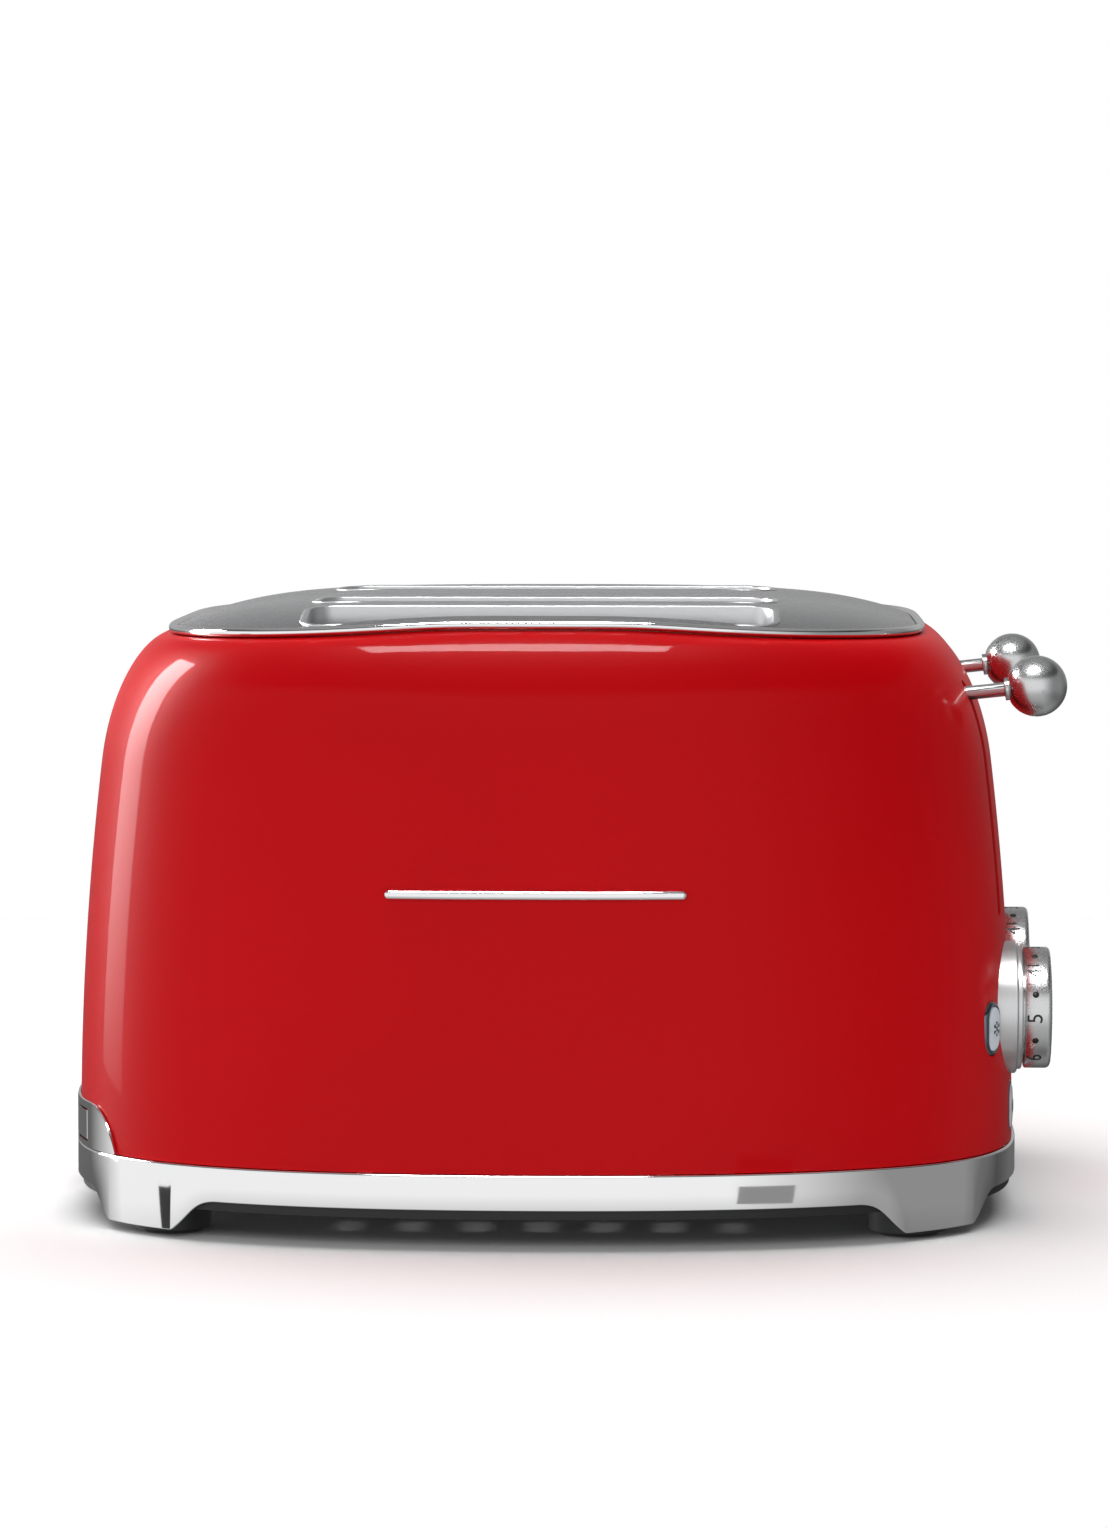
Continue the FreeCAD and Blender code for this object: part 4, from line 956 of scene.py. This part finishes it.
def makeBadge():
    # slim plain bar bent to the long face, with round ends
    low, high = boxMm("badge_bar")
    middle = middleOf("badge_bar")
    halfHigh = (high[2] - low[2]) / 2
    path, out = stadiumPath((high[0] - low[0]) / 2, halfHigh, 16, 60)
    rows = []
    for share, lift in badge["profile"]:
        x = middle[0] + path[:, 1] - out[:, 1] * halfHigh * (1 - share)
        z = middle[2] + path[:, 0] * share
        halfX, halfY, powerX, powerY = bodySizes(z)
        y = -halfY * (1 - (np.abs(x - midX) / halfX) ** powerX) ** (1 / powerY) - badge["rise"] * lift
        rows.append(np.stack([x, y, z], -1))
    piece = gridPiece("badgeBar", np.stack(rows), wrapRows=False)
    finished(piece, "housing", "bright_chrome", brightChrome, "badge_bar")


makeBadge()


nodeFinish = {
    "base_plate": blackNylon, "cord_gland": blackNylon, "foot_block": blackNylon, "foot_pad": blackRubber,
    "front_end_plate": spunSteel, "rear_end_plate": spunSteel, "slot_liner": polishedLiner,
    "heater_boards": mica, "bread_guide": spunSteel, "bread_carriage": spunSteel, "lever_arm": spunSteel,
    "guide_rods": spunSteel, "return_spring": spunSteel, "hold_magnet": nichromeCopper,
    "potentiometer": blackNylon, "control_board": greenBoard, "crumb_tray": brightChrome,
    "chassis_screws": spunSteel,
}
for name, node in nodes.items():
    for start, material in nodeFinish.items():
        if name.startswith(start):
            node.data.materials.clear()
            node.data.materials.append(material)
print("finishes given")


studio = {"floor": "#F6F6F6", "floorRadius": 1.0, "paintLeft": 0.45, "paintRight": 0.09, "dimFrom": 0.35,
          "dimTo": 0.85, "dim": 0.3, "sideFrom": 0.25, "sideTo": 0.75,
          "front": [(-1.0, 0.14), (-0.94, 0.36), (-0.77, 0.5), (-0.5, 0.55), (-0.34, 0.75), (-0.2, 1.0),
                    (0.46, 1.0), (0.53, 0.06), (0.68, 0.08), (0.82, 0.32), (0.93, 0.32), (1.0, 0.2)],
          "back": [(-1.0, 0.14), (-0.4, 0.1), (-0.06, 0.15), (0.0, 0.38), (0.12, 0.42), (0.35, 0.35),
                   (0.7, 0.28), (1.0, 0.2)]}


def makeFloor():
    # round pale floor, the same tone as the background, left out of reflections
    rim = circle(128) * studio["floorRadius"] / mm
    rim = np.concatenate([rim, np.zeros((len(rim), 1))], 1)
    floor = gridPiece("studioFloor", np.stack([rim * 0, rim]), wrapRows=False)
    if floor.data.polygons[0].normal.z < 0:
        floor.data.flip_normals()
    paper = {"Base Color": colour(studio["floor"]), "Roughness": 0.9, "Specular IOR Level": 0.1}
    floor.data.materials.append(newMaterial("pale seamless paper", paper)[0])
    floor.visible_glossy = False


def aimed(holder, spot, aim):
    bpy.context.scene.collection.objects.link(holder)
    holder.location = spot
    holder.rotation_euler = (Vector(aim) - Vector(spot)).to_track_quat("-Z", "Y").to_euler()


def makeLight(name, spot, aim, width, height, power):
    # a soft box that lights the paint but doesn't mirror in it
    lamp = bpy.data.lights.new(name, "AREA")
    lamp.shape = "RECTANGLE"
    lamp.size = width
    lamp.size_y = height
    lamp.energy = power
    holder = bpy.data.objects.new(name, lamp)
    aimed(holder, spot, aim)
    holder.visible_glossy = False


def makeCard(name, spot, width, height, facing, low, high):
    # an upright card that faces so many degrees round from +X
    turn = math.radians(facing)
    across = np.array([-math.sin(turn), math.cos(turn), 0]) * width / 2
    rise = np.array([0, 0, height / 2])
    finishedCard(name, np.array(spot), across, rise, low, high)


def finishedCard(name, spot, across, rise, low, high):
    # a glowing card, seen only in reflections, so its brightness goes from low at its foot to high at its head
    corners = [spot - across - rise, spot + across - rise, spot + across + rise, spot - across + rise]
    card = closeMesh(name, np.array(corners) / mm, np.array([[0, 1, 2, 3]]), weld=False)
    material = bpy.data.materials.new(name)
    material.use_nodes = True
    tree = material.node_tree
    tree.nodes.clear()
    place = addNode(tree, "ShaderNodeTexCoord").outputs["Object"]
    height = addNode(tree, "ShaderNodeSeparateXYZ", links={"Vector": place}).outputs["Z"]
    foot = spot[2] - rise[2]
    head = max(spot[2] + rise[2], foot + 0.01)
    span = {"From Min": foot, "From Max": head, "To Min": low, "To Max": high}
    glow = addNode(tree, "ShaderNodeMapRange", span, {"Value": height})
    light = addNode(tree, "ShaderNodeEmission", links={"Strength": glow.outputs["Result"]})
    addNode(tree, "ShaderNodeOutputMaterial", links={"Surface": light.outputs[0]})
    card.data.materials.append(material)
    card.visible_camera = False
    card.visible_diffuse = False
    card.visible_shadow = False


def makeWorld():
    # white to the eye, even for paint, and for reflections a brightness by how high the direction points,
    # from straight down (-1) to straight up (1): bright low at the front, grey above and behind, dimmer right
    world = bpy.data.worlds.new("studio")
    bpy.context.scene.world = world
    world.use_nodes = True
    tree = world.node_tree
    tree.nodes.clear()
    place = addNode(tree, "ShaderNodeTexCoord").outputs["Generated"]
    split = addNode(tree, "ShaderNodeSeparateXYZ", links={"Vector": place})
    share = addNode(tree, "ShaderNodeMapRange", {"From Min": -1.0, "From Max": 1.0},
                    {"Value": split.outputs["Z"]})
    side = addNode(tree, "ShaderNodeMapRange", {"From Min": studio["sideFrom"], "From Max": studio["sideTo"]},
                   {"Value": split.outputs["Y"]})
    tone = addNode(tree, "ShaderNodeMix", {"data_type": "RGBA"}, {0: side.outputs["Result"]})
    for socket, key in ((6, "front"), (7, "back")):
        stops = [((level + 1) / 2, grey(value)) for level, value in studio[key]]
        room = addNode(tree, "ShaderNodeValToRGB", {"stops": stops}, {"Fac": share.outputs["Result"]})
        wire(tree, tone, {socket: room.outputs["Color"]})
    dim = addNode(tree, "ShaderNodeMapRange", {"From Min": studio["dimFrom"], "From Max": studio["dimTo"],
                                               "To Min": 1.0, "To Max": studio["dim"]},
                  {"Value": split.outputs["X"]})
    mirrored = addNode(tree, "ShaderNodeBackground", links={"Color": tone.outputs[2],
                                                            "Strength": dim.outputs["Result"]})
    fade = addNode(tree, "ShaderNodeMapRange", {"From Min": -1.0, "From Max": 1.0,
                                                "To Min": studio["paintLeft"], "To Max": studio["paintRight"]},
                   {"Value": split.outputs["X"]})
    even = addNode(tree, "ShaderNodeBackground", {"Color": grey(1.0)}, {"Strength": fade.outputs["Result"]})
    seen = addNode(tree, "ShaderNodeBackground", {"Color": grey(1.0), "Strength": 1.0})
    ray = addNode(tree, "ShaderNodeLightPath")
    paint = addNode(tree, "ShaderNodeMixShader", links={0: ray.outputs["Is Diffuse Ray"],
                                                        1: mirrored.outputs[0], 2: even.outputs[0]})
    final = addNode(tree, "ShaderNodeMixShader", links={0: ray.outputs["Is Camera Ray"], 1: paint.outputs[0],
                                                        2: seen.outputs[0]})
    addNode(tree, "ShaderNodeOutputWorld", links={"Surface": final.outputs[0]})


makeFloor()
makeWorld()
makeLight("overhead soft box", (0.0, 0.45, 1.9), (0, 0.05, 0.0), 2.6, 1.8, 44)
makeLight("front fill", (-0.4, -2.2, 1.3), (0, 0, 0.1), 1.4, 1.0, 14)
makeCard("left soft box", (-1.0, 0.34, 0.4), 0.4, 0.9, 0.0, 3.0, 60.0)
makeCard("left flag", (-1.276, -0.462, -0.28), 0.17, 0.27, 15.7, 0.05, 0.05)
makeCard("right flag", (0.76, -1.48, -0.3), 0.3, 0.27, 120.0, 0.3, 0.3)
finishedCard("overhead strip", np.array([-0.13, -0.64, 1.5]), np.array([0.3, 0, 0]), np.array([0, 0.17, 0]),
             44.0, 44.0)

camera = {"focal": 133.9, "spot": (56.5, -1944.2, 273.8), "yaw": -0.0317, "pitch": 0.0667}
lens = bpy.data.cameras.new("camera")
lens.sensor_width = 36.0
lens.lens = camera["focal"]
lens.clip_start = 0.05
lens.clip_end = 50.0
eye = bpy.data.objects.new("camera", lens)
bpy.context.scene.collection.objects.link(eye)
eye.location = Vector(camera["spot"]) * mm
eye.rotation_euler = (math.pi / 2 - camera["pitch"], 0.0, -camera["yaw"])
bpy.context.scene.camera = eye
bpy.context.scene.view_settings.view_transform = "Standard"
print("studio made")
